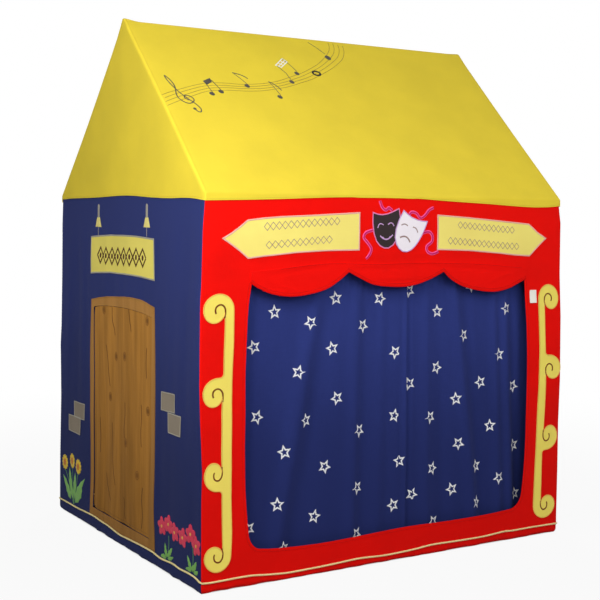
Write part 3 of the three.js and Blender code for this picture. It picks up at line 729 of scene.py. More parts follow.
cottons = {  # colour, and what differs from a plain patch
    "yellow": ((236, 210, 64), {"soft": 0.8}),
    # red, navy and starry cloth get painted shade, darker towards the foot
    "red": ((238, 20, 13), {"tone": 0.1, "soft": 0.8, "paintedShade": 0.3}),
    "navy": ((43, 51, 98), {"tone": 0.26, "soft": 1.0, "stretch": (1, 0.3, 1), "paintedShade": 0.45}),
    "starry": ((47, 57, 116), {"tone": 0.28, "soft": 0.7, "stretch": (1, 0.3, 1), "paintedShade": 0.45}),
    "paleYellow": ((254, 234, 124), {}),
    "sign": ((234, 218, 106), {}),
    "grey": ((142, 131, 115), {"tone": 0.08}),
    "black": ((62, 53, 54), {"tone": 0.1}),
    "white": ((250, 242, 249), {"tone": 0.03}),
    "cream": ((255, 249, 238), {"tone": 0.03, "soft": 0.2}),
    "scroll": ((255, 231, 106), {}),
}
cloths = {name: clothMaterial(name + "_cotton", colour(*dye), **look)
          for name, (dye, look) in cottons.items()}
cloths["door"] = doorMaterial("door_cotton", colour(188, 131, 60), colour(126, 86, 37), 1.0)
cloths["surround"] = doorMaterial("surround_cotton", colour(186, 134, 72), colour(136, 95, 46), 0.6)
dyes = {  # of the threads and the piping
    "yellow": (255, 238, 136), "piping": (255, 234, 166), "hem": (214, 190, 56), "amber": (255, 204, 96),
    "brown": (120, 58, 10), "knot": (130, 86, 38), "bark": (84, 50, 18), "wood": (140, 98, 48),
    "pink": (255, 192, 176), "rose": (240, 140, 196), "magenta": (224, 30, 112),
    "brightPink": (255, 96, 164), "lilac": (222, 176, 232), "mauve": (168, 140, 138),
    "white": (255, 255, 255), "grey": (172, 166, 150),
    "slate": (84, 80, 74), "dark": (38, 32, 26), "faint": (158, 128, 50), "red": (190, 12, 8),
    "navy": (40, 46, 92), "petalYellow": (236, 200, 50), "petalOrange": (206, 120, 36),
    "petalPink": (226, 52, 84), "petalHeart": (240, 176, 90), "leaf": (122, 182, 84), "stem": (70, 124, 72),
}
matt = {  # roughness, where a thread shines less than the others
    "piping": 0.7, "hem": 0.6, "knot": 0.8, "bark": 0.7, "wood": 0.6, "red": 0.6, "navy": 0.6,
}
threads = {name: threadMaterial(name + "_thread", colour(*dye), matt.get(name, 0.45))
           for name, dye in dyes.items()}
print("materials are ready")


# Frame of poles, the curtain rod and its clips keep their own shapes
def dressFrame():
    turns = {
        "post": (0, math.pi / 2, 0),
        "lengthways": (0, 0, 0),
        "crossways": (0, 0, -math.pi / 2),
        "rafter_front": (0, roofAngle, -math.pi / 2),
        "rafter_back": (0, roofAngle, math.pi / 2),
    }
    finishes = {name: woodMaterial("pole_wood_" + name, turn) for name, turn in turns.items()}
    finishes["plastic"] = plasticMaterial("joint_plastic")
    for name, node in frame["nodes"].items():
        if name.startswith(("base_corner", "eave_corner", "ridge_joint", "rod_clip")):
            finish = "plastic"
        elif name.startswith("post"):
            finish = "post"
        elif name.startswith("rafter"):
            finish = name.rsplit("_", 1)[0]
        elif name.startswith(("base_rail", "eave_rail", "ridge_pole", "curtain_rod")):
            finish = "crossways" if name.endswith(("left", "right")) else "lengthways"
        else:
            continue
        node.data.materials.clear()
        node.data.materials.append(finishes[finish])


dressFrame()
print("the frame has its wood and plastic")

# Front wall with its stage opening
stage = mm({  # the opening, from its left edge round by the sill
    "leftEdge": [(-449, 745), (-456, 700), (-460, 650), (-462.5, 570), (-464.5, 480), (-463, 385),
        (-459, 290), (-454, 200), (-449, 132)],
    "leftCorner": (37, 44),
    "sill": [(-412, 88), (-366, 83), (-250, 78), (-130, 80), (30, 84), (170, 82), (310, 83), (396, 87)],
    "rightCorner": (44, 43),
    "rightEdge": [(440, 130), (446, 190), (451, 260), (455, 360), (458, 460), (456, 580), (453, 650),
        (448, 706), (444.5, 735)],
    "head": [(444.5, 757), (400, 765), (140, 774), (-220, 778), (-366, 766), (-449, 758)],
    "edgeStitch": 7,  # from the opening to the row of stitches round it
})


def openingOutline():
    left, right, sill = stage["leftCorner"], stage["rightCorner"], stage["sill"]
    return (throughPoints(stage["leftEdge"], 3)
            + arc((sill[0][0], sill[0][1] + left[1]), left, 180, 270, 8)[1:-1]
            + throughPoints(sill, 3)
            + arc((sill[-1][0], sill[-1][1] + right[1]), right, 270, 360, 8)[1:-1]
            + throughPoints(stage["rightEdge"], 3) + stage["head"])


def grown(loop, by):
    # a line beside a loop, on its outer side
    count = len(loop)
    line = []
    for i, p in enumerate(loop):
        onward = Vector(loop[(i + 1) % count]) - Vector(loop[i - 1])
        side = Vector((onward.y, -onward.x)).normalized() * by
        line.append((p[0] + side.x, p[1] + side.y))
    return line


def cornerGuides(half, low, high):
    # upright lines of points where a wall turns its corners
    rows = [half - distance for distance in mm((2.9, 4, 5.4, 7))]
    return [[(side * x, low + 0.002), (side * x, high - 0.002)] for x in rows for side in (-1, 1)]


def wallOutline(half):
    reach = half - cornerInset
    return [(-reach, house["wallFoot"]), (reach, house["wallFoot"]),
            (reach, house["wallHead"]), (-reach, house["wallHead"])]


def makeWall(name, cloth, holes=(), spacing=0.011):
    wall = walls[name]
    guides = cornerGuides(wall.half, house["wallFoot"], house["wallHead"])
    outline = wallOutline(wall.half)
    piece = clothFrom(f"wall_{name}_cloth", wall, outline, cloths[cloth], holes, guides, spacing)
    finished(piece, house["cloth"])
    fitted(piece, replaces=["wall_" + name])
    flat = (2 * wall.half, house["wallHead"] - house["wallFoot"])
    area = flat[0] * flat[1] - sum(loopArea(hole) for hole in holes)


makeWall("front", "red", [openingOutline()], 0.01)
stitches = Stitching(walls["front"])
stitches.row(grown(openingOutline(), stage["edgeStitch"])[:-len(stage["head"])])
stitches.sewn("opening_stitches", threads["red"], "red_cloth")
makeWall("back", "navy")
makeWall("right", "navy")
print("front, back and right walls are up")

# Valance: its seam, its scallops and the turned hem along them
valance = {
    "seam": mm([(-453, 774), (-366, 782), (-223, 792.5), (-50, 790), (142, 789), (300, 783), (415, 774),
        (449, 771)]),
    "scallops": mm([
        [(-453, 746), (-430, 732), (-393, 717), (-340, 709.5), (-285, 714), (-234, 725.5), (-195, 745),
            (-160, 769.5)],
        [(-160, 769.5), (-123, 753), (-80, 736), (-20, 729), (35, 729), (94, 741.5), (152, 765)],
        [(152, 765), (178, 743), (219, 723), (270, 711), (327, 706.5), (380, 714), (420, 728), (449, 739)]]),
    "reach": 0.451,  # from the middle to the valance's ends
    "drop": 0.08,  # from the seam to the lowest edge
    "stand": 0.0018,  # how far it hangs in front of the wall
    "billow": 0.006,
    "crease": 0.0035,  # half height of a crease
    "hemWidth": 0.008,
    # x, z, lean, half length and depth of each crease
    "creases": [(-0.3, 0.776, 0.1, 0.09, -0.0022), (-0.06, 0.776, 0, 0.12, -0.002),
        (0.0, 0.752, 0.03, 0.08, 0.0016), (0.02, 0.742, -0.02, 0.09, -0.0016),
        (0.24, 0.772, -0.06, 0.12, -0.0022), (-0.36, 0.735, -0.3, 0.05, 0.0016),
        (0.36, 0.75, 0.3, 0.05, 0.0014)],
}


def scallopLine():
    # the valance's lower edge, from its left end to its right one
    line = []
    for points in valance["scallops"]:
        line += throughPoints(points, 4)[:-1]
    return line + [valance["scallops"][-1][-1]]


def seamHeight(a):
    return curve(a, throughPoints(valance["seam"], 4))


def valanceRise(a, b):
    drop = max(0.0, seamHeight(a) - b)
    wave = 0.5 + 0.5 * math.sin(a * 21 + 1) + 0.6 * ripple(a * 11, b * 6, 40)
    ends = smooth((valance["reach"] - abs(a)) / 0.03)
    creases = sum(
        depth * math.exp(-((a - x) / reach) ** 2 - ((b - z - lean * (a - x)) / valance["crease"]) ** 2)
        for x, z, lean, reach, depth in valance["creases"])
    billow = valance["billow"] * (drop / valance["drop"]) ** 1.3 * (0.35 + 0.65 * wave)
    return valance["stand"] + (billow + creases) * ends


def makeValance():
    lower = scallopLine()
    face = Lifted(walls["front"], valanceRise)
    outline = lower + list(reversed(throughPoints(valance["seam"], 4)))
    piece = clothFrom("valance_cloth", face, outline, cloths["red"], spacing=0.006)
    finished(piece, house["cloth"])
    fitted(piece, replaces=["valance"])
    hem = Stitching(face)
    hem.line([(x, z + valance["hemWidth"] / 2) for x, z in lower], valance["hemWidth"], 0.0009)
    hem.sewn("valance_hem", cloths["red"], "red_cloth")
    rows = Stitching(face, 0.0001)
    rows.row([(x, z + valance["hemWidth"] + 0.001) for x, z in lower])
    rows.row([(x, z - 0.0015) for x, z in throughPoints(valance["seam"], 3)][3:-2])
    rows.sewn("valance_stitches", threads["red"], "red_cloth")
    2 * valance["reach"]
    loopArea(outline)


makeValance()
print("the valance hangs")

# Left wall with its doorway
door = mm({
    # the surround, along the left wall as seen from outside
    "backEdge": [(-225, 664), (-231, 570), (-238, 480), (-234, 370), (-229, 250), (-230, 30)],
    "frontEdge": [(222, 30), (221, 225), (217, 330), (213, 430), (207, 535), (202, 610), (199, 670)],
    "arch": [(199, 670), (120, 684), (40, 687.5), (-40, 685), (-120, 679), (-225, 664)],
    # the doorway's edges, and the rise of its head
    "wayBack": -208,
    "wayFront": 183,
    "wayFoot": 63,
    "wayCrown": 657,
    "rise": 14,
    # gaps beside the flap: at its free edge by height, at its foot, its sewn edge and its head
    "freeGap": [(90, 1.6), (200, 1.8), (320, 2.6), (420, 4.2), (520, 6.2), (620, 7.2)],
    "footGap": 1.5,
    "hingeGap": 0.8,
    "headGap": 1.2,
    "grain": 2.6,  # width of the lines
    "knotRing": (9.8, 11.2),
    "knotHeart": (6.6, 7.8),
    "billow": 4.5,
})


def archOutline(left, right, foot, crown, rise):
    head = [(right + (left - right) * k / 12, crown - rise * ((k / 6) - 1) ** 2) for k in range(13)]
    return [(left, foot), (right, foot), *head]


doorway = archOutline(door["wayBack"], door["wayFront"], door["wayFoot"], door["wayCrown"], door["rise"])
makeWall("left", "navy", [doorway], 0.009)

patchLift = house["patch"] + 0.0003  # the outer side of a patch stands this far off the wall


def makePatch(name, node, face, outline, cloth, spacing=0.006, holes=(), flat=None):
    # a flat piece of cloth that is sewn to a wall
    piece = clothFrom(name + "_cloth", face, outline, cloths[cloth], holes, spacing=spacing, lift=patchLift)
    finished(piece, house["patch"])
    fitted(piece, replaces=[node] if node else ())
    area = loopArea(outline) - sum(loopArea(hole) for hole in holes)
    flat = flat or tuple(max(values) - min(values) for values in zip(*outline))
    min(area, flat[0] * flat[1])


def makeEdge(name, face, outline, width, thread, slot, step=0.012, height=0.0006):
    # satin stitch round a patch
    edge = Stitching(face, patchLift)
    edge.line(spread(outline, step, True), width, height, True)
    edge.sewn(name + "_edge", threads[thread], slot)


def makeDoor():
    wall = walls["left"]
    back, front, arch = (throughPoints(door[key], 3) for key in ("backEdge", "frontEdge", "arch"))
    outer = back + front[:-1] + arch[:-1]
    around = sum(math.dist(p, q) for p, q in zip(outer, outer[1:] + outer[:1]))
    makePatch("door_surround", "door_surround", wall, outer, "surround", holes=[doorway],
              flat=(0.0265, around - 0.1))
    sewing = Stitching(wall, patchLift)
    sewing.row(grown(outer, -0.003), closed=True)
    sewing.sewn("surround_stitches", threads["wood"], "brown_cloth")


def flapRise(a, b):
    # the flap stands nearly flush at its sewn edge and its head, and billows towards its free corner
    free = smooth((door["wayFront"] - a) / 0.35)
    down = smooth((door["wayCrown"] - b) / 0.5)
    wave = math.sin((a - door["wayBack"]) * 46 + b * 3) + 0.8 * ripple(a * 9, b * 3, 51)
    edge = 1 - smooth((a - door["wayBack"] - 0.004) / 0.05)
    foot = 1 - smooth((b - door["wayFoot"]) / 0.05)
    return (0.0004 + door["billow"] * down * (0.25 + 0.75 * free) * (0.55 * wave - 0.5)
            - 0.0018 * edge * down + 0.0004 * foot)


# across and up on the flap, from top to foot
grainLines = mm([[(-77, 652), (-74, 615), (-60, 590), (-56, 574)],
    [(-114, 540), (-104, 500), (-98, 460), (-89, 427)], [(39, 655), (44, 630), (50, 612), (54, 595)],
    [(18, 397), (20, 360), (13, 325), (17, 300)], [(119, 406), (122, 370), (119, 330), (122, 292)],
    [(-72, 328), (-66, 270), (-64, 210), (-46, 157)], [(-119, 179), (-110, 150), (-94, 128), (-80, 108)],
    [(131, 184), (128, 150), (136, 110), (134, 78)], [(18, 137), (24, 118), (20, 98), (27, 80)],
    [(150, 560), (147, 520), (151, 480)], [(-160, 330), (-156, 280), (-160, 230)]])
knots = mm([(-131, 640), (152, 632), (15, 523), (-48, 515), (-88, 398), (28, 289), (101, 212), (160, 394)])


def makeFlap():
    face = Lifted(walls["left"], flapRise)
    left, right = door["wayBack"] + 0.0016, door["wayFront"] - door["hingeGap"]
    foot, middle = door["wayFoot"] + door["footGap"], (door["wayBack"] + door["wayFront"]) / 2
    half = (door["wayFront"] - door["wayBack"]) / 2
    head = [(x, door["wayCrown"] - door["rise"] * ((x - middle) / half) ** 2 - door["headGap"])
            for x in (right + (left - right) * k / 14 for k in range(15))]
    heights = [float(z) for z in np.linspace(0.62, 0.09, 15)]
    free = [(door["wayBack"] + curve(z, door["freeGap"]), z) for z in heights]
    outline = [(left + 0.003, foot + 0.009), (left + 0.014, foot + 0.0015), (left + 0.1, foot - 0.0005),
               (0.02, foot + 0.0015), (right - 0.06, foot), (right, foot), *head[:-1],
               (left + 0.01, head[-1][1]), *free]
    piece = clothFrom("door_flap_cloth", face, outline, cloths["door"], spacing=0.007)
    finished(piece, house["cloth"])
    fitted(piece, "stage_door", ["door_flap"])
    right - left
    door["wayCrown"] - foot
    loopArea(outline)
    grain, knotRings = Stitching(face), Stitching(face)
    for points in grainLines:
        grain.line(spread(throughPoints(points, 5), 0.008), door["grain"], 0.0005)
    for x, z in knots:
        ring = spread(arc((x, z), door["knotRing"], 20, 380, 14), 0.004)[:-1]
        knotRings.line(ring, door["grain"], 0.0004, True)
        knotRings.shape(disc((x, z), door["knotHeart"]), 0.0004)
    grain.sewn("door_grain", threads["bark"], "brown_cloth", "stage_door")
    knotRings.sewn("door_knots", threads["knot"], "brown_cloth", "stage_door")
    hem = Stitching(face)
    hem.row([(left + 0.009, 0.63), (left + 0.009, foot + 0.008), (right - 0.008, foot + 0.008)])
    hem.sewn("door_hem_stitches", threads["wood"], "brown_cloth", "stage_door")


makeDoor()
makeFlap()
print("the stage door is sewn in")


# Roof: two slopes with their hems, and two gables
def makeSlope(name):
    # rows 0 and 0.5 are the hem's edge, 1 to 7 go round the fold, and 8 and more go up the slope
    slope = slopes[name]
    columns = edgeColumns(house["roofHalf"], (2.9, 4, 5.4, 7, 10), 104)
    tangent, ridgeTurn = slope.tangent, slopeLength - 2 * slope.ridgeTangent
    bends = np.linspace(-tangent, tangent, 7)
    up = [*np.linspace(tangent, ridgeTurn, 64)[1:], *np.linspace(ridgeTurn, slopeLength, 6)[1:]]
    rows = [0.0, 0.5, *range(1, 8), *[8 + b for b in up]]

    def place(a, row):
        edge = min(hemEdge(name, a) - house["fold"], -0.0005)
        if row < 1:
            return slope.place(a, edge + (max(-tangent, edge) - edge) * row)
        if row < 8:
            return slope.place(a, max(bends[row - 1], edge * (1 - (row - 1) / 7)))
        return slope.place(a, row - 8)

    piece = gridCloth(f"roof_{name}_cloth", place, columns, rows, cloths["yellow"],
                      lambda a, row: (a, row - 8 if row > 8 else (row - 8) * 0.0025))
    finished(piece, house["cloth"])
    fitted(piece, replaces=[f"roof_{name}"])
    2 * columns[-1]


def makeGable(name):
    gable, slope = gables[name], slopes["front"]
    places = [float(b) for b in np.linspace(-0.01, slopeLength, 90)]

    def rake(b, depth, rise=0.0):
        # a place at this depth under the slope's outer side
        y, z, turn = slope.profile(b)
        return y - depth * math.cos(turn), z - depth * math.sin(turn) + rise

    rim = [rake(b, cornerInset, ridgeBump(gable.sign * house["roofHalf"], b)) for b in places]
    foot = [(float(x), hemEdge(name, x)) for x in np.linspace(-rim[0][0], rim[0][0], 40)]
    outline = foot + rim + mirrored(rim[:-1])
    guides = []
    for depth in (0.0032, 0.0048, 0.007):
        line = [rake(b, depth) for b in places[2:-4]]
        guides += [line, [(-x, z) for x, z in line]]
    piece = clothFrom(f"gable_{name}_cloth", gable, outline, cloths["yellow"], guides=guides, spacing=0.012)
    finished(piece, house["cloth"])
    fitted(piece, replaces=[f"gable_{name}"])
    flat = (2 * rim[0][0], house["ridge"] - house["eave"])
    loopArea(outline)


for side in ("front", "back"):
    makeSlope(side)
for side in ("left", "right"):
    makeGable(side)
print("the roof is on")


# Hem sleeves round the base rails, and the piping over them
sleeve = mm({"radius": 12.1, "axis": 11.72, "seam": 24.8, "gather": 3.4})
upright = 0.18  # the share of a sleeve's path that runs straight down from its outer seam


def sleeveSpot(wall, a, path):
    # path runs from the outer seam (0) down, round under the rail and back up inside (1)
    radius, axis = sleeve["radius"], sleeve["axis"]
    if path < upright:
        inward, height, turn = 0.0, sleeve["seam"] + (axis - sleeve["seam"]) * path / upright, math.pi
    else:
        turn = math.pi + (path - upright) / (1 - upright) * 1.5 * math.pi
        inward, height = radius + radius * math.cos(turn), axis + radius * math.sin(turn)
    lower = math.exp(-((path - 0.36) / 0.2) ** 2)
    gather = sleeve["gather"] * lower * max(0.0, ripple(a * 26, path * 3, wall.look["seed"] + 9) + 0.15)
    inward += gather * math.cos(turn)
    height = max(0.0, height + gather * math.sin(turn))
    height += (curve(a, wall.hemLine) - house["hem"]) * smooth(height / 0.022) * (1 if path < 0.3 else 0)
    distance, inward = cornerSpot(wall.half - abs(a), inward)
    flat = wall.along * math.copysign(wall.half - distance, a) - wall.out * inward
    return wall.origin + flat + wall.up * height


def makeSleeve(name, cloth):
    wall = walls[name]
    columns = edgeColumns(wall.half, (2.9, 4, 5.4, 7, 12, 18, 24.2), int(wall.half * 220))
    piece = gridCloth(f"hem_sleeve_{name}_cloth", lambda a, path: sleeveSpot(wall, a, path), columns,
                      np.linspace(0, 1, 34)[::-1], cloths[cloth], lambda a, path: (a, -path * 0.075))
    selected(piece)
    bpy.ops.object.mode_set(mode="EDIT")
    bpy.ops.mesh.select_all(action="SELECT")
    bpy.ops.mesh.remove_doubles(threshold=0.00005)
    bpy.ops.object.mode_set(mode="OBJECT")
    finished(piece, house["cloth"], angle=60)
    for vertex in piece.data.vertices:  # it stands on the floor
        vertex.co.z = max(0.0, vertex.co.z)
    fitted(piece, replaces=["hem_sleeve_" + name])
    2 * wall.half


def makePiping():
    # a cord once round the house, its ends joined
    radius, sides = 0.0023, 10
    points, faces, uvs = [], [], []
    for name in ("front", "right", "back", "left"):
        wall = walls[name]
        turns = [wall.half - distance for distance in mm((5.5, 4, 2.9, 2.06))]
        steps = np.linspace(-wall.half + 0.007, wall.half - 0.007, int(wall.half * 180))
        for a in [*[-t for t in reversed(turns[:-1])], *steps, *turns]:
            middle = wall.place(a, house["hem"], 0.0009)
            outer = (wall.place(a, house["hem"], 0.0019) - middle).normalized()
            run = 0.01 * (len(points) // sides)
            for k in range(sides):
                angle = 2 * math.pi * k / sides
                points.append(middle + (outer * math.cos(angle) + wall.up * math.sin(angle)) * radius)
                uvs.append((run, angle * radius))
    for i in range(0, len(points), sides):
        j = (i + sides) % len(points)
        faces += [[i + k, j + k, j + (k + 1) % sides, i + (k + 1) % sides] for k in range(sides)]
    piece = addPiece("base_piping_cord", points, faces, uvs, threads["piping"])
    fitted(finished(piece, angle=60), replaces=["base_piping"])


for side in ("front", "back", "left", "right"):
    makeSleeve(side, "red" if side == "front" else "navy")
makePiping()
print("the hems and the piping are on")

# Curtains: cloth gathered on the rod, with outlined stars sewn on
curtains = {
    "foot": 0.045,
    "sheetTop": 0.7935,
    "casing": 0.00545,  # from the rod's axis to the middle of the cloth round it
    "cloth": 0.0015,
    "lead": {"left": 0.0022, "right": -0.0022},  # how far the leading edges stand out from the rod
    "tuck": {"left": 0.0027, "right": -0.0017},  # and the cloth that is sewn to them
    "underlap": 0.012,  # how far the right one reaches under the left one
    "overlap": 0.0025,  # how far each curtain's cloth reaches under its leading edge
    "wave": 0.0022,  # heights of the cloth's broad and fine waves and of its gathers under the rod
    "fine": 0.001,
    "gathers": 0.0014,
    "starSize": 0.0151,
    "starNotch": 0.46,
    "starLine": 0.0042,
    "leadBend": {"left": -0.0022, "right": 0.0035},  # of the edges' line, forwards and backwards
}
# a fold is its place at the rod, its place at the foot, its depth at the foot and its half width
folds = {
    "left": [(-0.405, -0.43, 0.005, 0.03), (-0.222, -0.362, 0.0115, 0.026),
        (-0.186, -0.305, -0.005, 0.03), (-0.112, -0.13, 0.008, 0.02), (-0.08, -0.095, -0.003, 0.02),
        (-0.03, -0.045, 0.005, 0.018)],
    "right": [(0.112, 0.118, 0.006, 0.018), (0.155, 0.18, -0.005, 0.022),
        (0.202, 0.288, 0.0115, 0.019), (0.245, 0.322, -0.005, 0.018), (0.35, 0.378, 0.01, 0.016),
        (0.388, 0.424, 0.009, 0.015), (0.42, 0.452, -0.009, 0.016), (0.474, 0.478, -0.006, 0.022)],
}
starPlaces = {  # x, z and turn in degrees
    "left": [(-0.365, 0.67, 4), (-0.26, 0.64, 28), (-0.18, 0.7, 6), (-0.095, 0.625, 40), (-0.04, 0.695, 52),
        (-0.425, 0.585, 20), (-0.19, 0.57, 14), (0.01, 0.55, 30), (-0.295, 0.515, 55), (-0.175, 0.44, 24),
        (-0.415, 0.41, 48), (-0.27, 0.39, 12), (0.01, 0.38, 60), (-0.105, 0.35, 32), (-0.335, 0.315, 10),
        (-0.21, 0.265, 44), (-0.11, 0.2, 26), (-0.355, 0.185, 0), (-0.24, 0.14, 58), (0.008, 0.14, 18),
        (-0.11, 0.078, 36), (-0.335, 0.072, 4), (-0.437, 0.135, 22), (0.0265, 0.2575, 8)],
    "right": [(0.155, 0.655, 2), (0.245, 0.585, 24), (0.4, 0.655, 16), (0.155, 0.5, 50), (0.375, 0.525, 8),
        (0.31, 0.45, 20), (0.435, 0.43, 46), (0.22, 0.41, 6), (0.131, 0.366, 28), (0.345, 0.325, 2),
        (0.23, 0.285, 38), (0.44, 0.26, 14), (0.14, 0.225, 52), (0.297, 0.215, 10), (0.375, 0.175, 30),
        (0.21, 0.16, 20), (0.295, 0.115, 56), (0.145, 0.078, 26), (0.448, 0.12, 8), (0.272, 0.7225, 40),
        (0.058, 0.7135, 30), (0.0612, 0.462, 22), (0.0735, 0.1605, 44)],
}


class Drape:
    # a curtain: a is the length of cloth from its side edge, b the height
    def __init__(self, name, seed):
        low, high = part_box("curtain_" + name)
        start, end = low.x, high.x
        self.name, self.seed = name, seed
        if name == "left":
            self.side, self.seam, self.fixed = -1, end, start
            self.start, self.end = start, end + curtains["overlap"]
            self.lead = self.end
        else:
            self.side, self.seam, self.fixed = 1, start, end
            self.start, self.end = start - curtains["overlap"], end
            self.lead = self.start
        self.tuck = curtains["tuck"][name]
        self.xs = np.linspace(start, end, 140)
        self.rows = {}

    def swing(self, x, z):
        share = (z - curtains["foot"]) / (curtains["sheetTop"] - curtains["foot"])
        slack = 1 - 0.55 * share ** 2  # folds are deepest at the foot
        folded = sum(
            d * math.exp(-((x - foot - (top - foot) * share) / (w * (1.15 - 0.3 * share))) ** 2)
            for top, foot, d, w in folds[self.name])
        wave = curtains["wave"] * ripple(x * 9, z * 1.3, self.seed)
        wave += curtains["fine"] * ripple(x * 30, z * 2, self.seed + 1)
        gathers = curtains["gathers"] * math.sin(x * 300 + 2 * ripple(x * 20, 0, self.seed))
        gathers *= smooth((share - 0.86) / 0.1)
        settle = 1 - smooth((share - 0.97) / 0.03)
        edge = smooth((abs(x - self.lead) - 0.004) / 0.05)
        return ((folded * slack + wave + gathers) * edge + self.tuck * (1 - edge)) * settle

    def row(self, z):
        key = round(z, 4)
        if key not in self.rows:
            y = np.array([self.swing(float(x), z) for x in self.xs])
            steps = np.hypot(np.diff(self.xs), np.diff(y))
            self.rows[key] = np.concatenate([[0], np.cumsum(steps)])
        return self.rows[key]

    def along(self, x, z):
        inside = min(max(x, float(self.xs[0])), float(self.xs[-1]))
        return float(np.interp(inside, self.xs, self.row(z))) + x - inside

    def place(self, a, b, lift=0.0):
        x = float(np.interp(a, self.row(b), self.xs))
        step = 0.0005
        slope = (self.swing(x + step, b) - self.swing(x - step, b)) / (2 * step)
        size = math.hypot(1, slope)
        out = lift + curtains["cloth"] / 2
        return Vector((x - slope * out / size, house["rodY"] - self.swing(x, b) - out / size, b))

    def spot(self, x, t):
        # the cloth's middle: straight up to the rod, then once round it
        height = curtains["sheetTop"] - curtains["foot"]
        if t <= height:
            z = curtains["foot"] + t
            return Vector((x, house["rodY"] - self.swing(x, z), z))
        angle = (t - height) / curtains["casing"]
        y = house["rodY"] - curtains["casing"] * math.sin(angle)
        lean = 0.0004 * ripple(x * 40, angle, self.seed + 2)
        return Vector((x, y, house["rodZ"] - curtains["casing"] * math.cos(angle) - lean))


def starOutline(x, z, turn):
    reaches = (curtains["starSize"], curtains["starSize"] * curtains["starNotch"])
    angles = [math.radians(90 + turn + 36 * k) for k in range(10)]
    return [(x + reaches[k % 2] * math.cos(angle), z + reaches[k % 2] * math.sin(angle))
            for k, angle in enumerate(angles)]


def sewStars(stars, name, seam, side, along):
    # the stars on one side of the leading edge's seam: one that crosses it is cut there, so that each
    # part moves with its own cloth
    for x, z, turn in starPlaces[name]:
        middle, limit = along(x, z), along(seam, z)
        star = starOutline(middle, z, turn)
        loop = spread(star, 0.0015, True)
        here = [side * (point[0] - limit) > 0.0004 for point in loop]
        if all(here):
            stars.line(star, curtains["starLine"], 0.0003, True)
        elif any(here):
            first = here.index(False)
            part = []
            for k in range(first, first + len(loop) + 1):
                if here[k % len(loop)]:
                    part.append(loop[k % len(loop)])
                elif part:
                    if len(part) > 2:
                        stars.line(part, curtains["starLine"], 0.0003)
                    part = []


def makeCurtain(name, seed):
    drape = Drape(name, seed)
    slide = name + "_curtain_slide"
    travel = next(joint["range_m"][1] for joint in frame["joints"] if joint["name"] == slide)
    height = curtains["sheetTop"] - curtains["foot"]
    wrap = 2 * math.pi * curtains["casing"] * 0.97  # once round the rod
    count = int((drape.end - drape.start) / 0.0042)
    columns = [float(x) for x in np.linspace(drape.start, drape.end, count)]
    rows = [height * k / 60 for k in range(61)] + [height + wrap * k / 18 for k in range(1, 19)]
    piece = gridCloth(f"curtain_{name}_cloth", drape.spot, columns, rows, cloths["starry"],
                      lambda x, t: (drape.along(x, 0.4), t))
    finished(piece, curtains["cloth"], 0.0, 60)
    fitted(piece, replaces=["curtain_" + name])
    stars, hem = Stitching(drape), Stitching(drape)
    sewStars(stars, name, drape.seam, drape.side, drape.along)
    starPiece = stars.sewn(f"curtain_{name}_stars", threads["white"], "white_cloth")
    for z in (curtains["foot"] + 0.012, curtains["foot"] + 0.0135):
        hem.row([(drape.along(x, z), z) for x in (drape.start + 0.004, drape.end - 0.004)])
    hemPiece = hem.sewn(f"curtain_{name}_hem", threads["navy"], "curtain_cloth")
    float(drape.row(0.3)[-1])
    for part in (piece, starPiece, hemPiece):
        1 - travel / abs(drape.seam - drape.fixed)
        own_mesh(part)


class LeadFace:
    # the front of a leading edge, which sways a little and bends along its open side
    def __init__(self, name, left, right, middle):
        self.middle, self.left, self.right = middle, left, right
        self.bend = curtains["leadBend"][name]
        self.sign = 1 if name == "left" else -1

    def sway(self, x, z):
        low, high = z - curtains["foot"], curtains["sheetTop"] - z
        wander = 0.0012 * ripple(z * 4, 0, 60 + self.sign) * smooth(low / 0.1) * smooth(high / 0.1)
        side = (x - self.left - 0.008 if self.sign > 0 else self.right - 0.008 - x) / 0.015
        return wander + self.bend * smooth(side) * smooth(high / 0.2)

    def place(self, a, b, lift=0.0):
        return Vector((a, self.middle + self.sway(a, b) - 0.0015 - lift, b))


def makeLead(name):
    # the doubled hem at a curtain's leading edge: cloth folded over, with a casing round the rod
    low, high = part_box("curtain_lead_" + name)
    left, right = low.x - (0 if name == "left" else curtains["underlap"]), high.x
    middle, body = house["rodY"] - curtains["lead"][name], name + "_curtain_edge"
    foot, top = curtains["foot"], curtains["sheetTop"]
    gap, cloth = 0.0008, 0.0013
    start, end, sideways = (left, right, 1) if name == "left" else (right, left, -1)
    turn = end - sideways * gap  # where the cloth folds back
    section = [(start + (turn - start) * k / 8, -gap) for k in range(9)]
    for k in range(1, 6):
        angle = math.pi * (k / 6 - 0.5)
        section.append((turn + sideways * gap * math.cos(angle), gap * math.sin(angle)))
    section += [(turn - (turn - start) * k / 8, gap) for k in range(9)]
    rows = [foot + (top - foot) * k / 40 for k in range(41)][::sideways]
    face = LeadFace(name, left, right, middle)

    def place(k, z):
        x, y = section[k]
        return Vector((x, middle + y + face.sway(x, z), z))

    piece = gridCloth(f"curtain_lead_{name}_cloth", place, range(len(section)), rows, cloths["starry"],
                      lambda k, z: (k * 0.0023, z))
    finished(piece, cloth, 0.0, 60)
    fitted(piece, body, ["curtain_lead_" + name])
    sides, radius = 20, curtains["casing"] + 0.0001
    angles = [2 * math.pi * k / sides for k in range(sides)]
    ring = [(x, house["rodY"] + radius * math.sin(angle), house["rodZ"] + radius * math.cos(angle))
            for x in (left + 0.0006, right - 0.0006) for angle in angles]
    faces = [[sides + k, sides + (k + 1) % sides, (k + 1) % sides, k] for k in range(sides)]
    uvs = [(x, z) for x, _, z in ring]
    casing = addPiece(f"curtain_lead_{name}_casing", ring, faces, uvs, cloths["starry"])
    fitted(finished(casing, cloth, 0.0, 60), body)
    stars = Stitching(face)
    sewStars(stars, name, start, sideways, lambda x, z: x)
    starPiece = stars.sewn(f"curtain_lead_{name}_stars", threads["white"], "white_cloth", body)


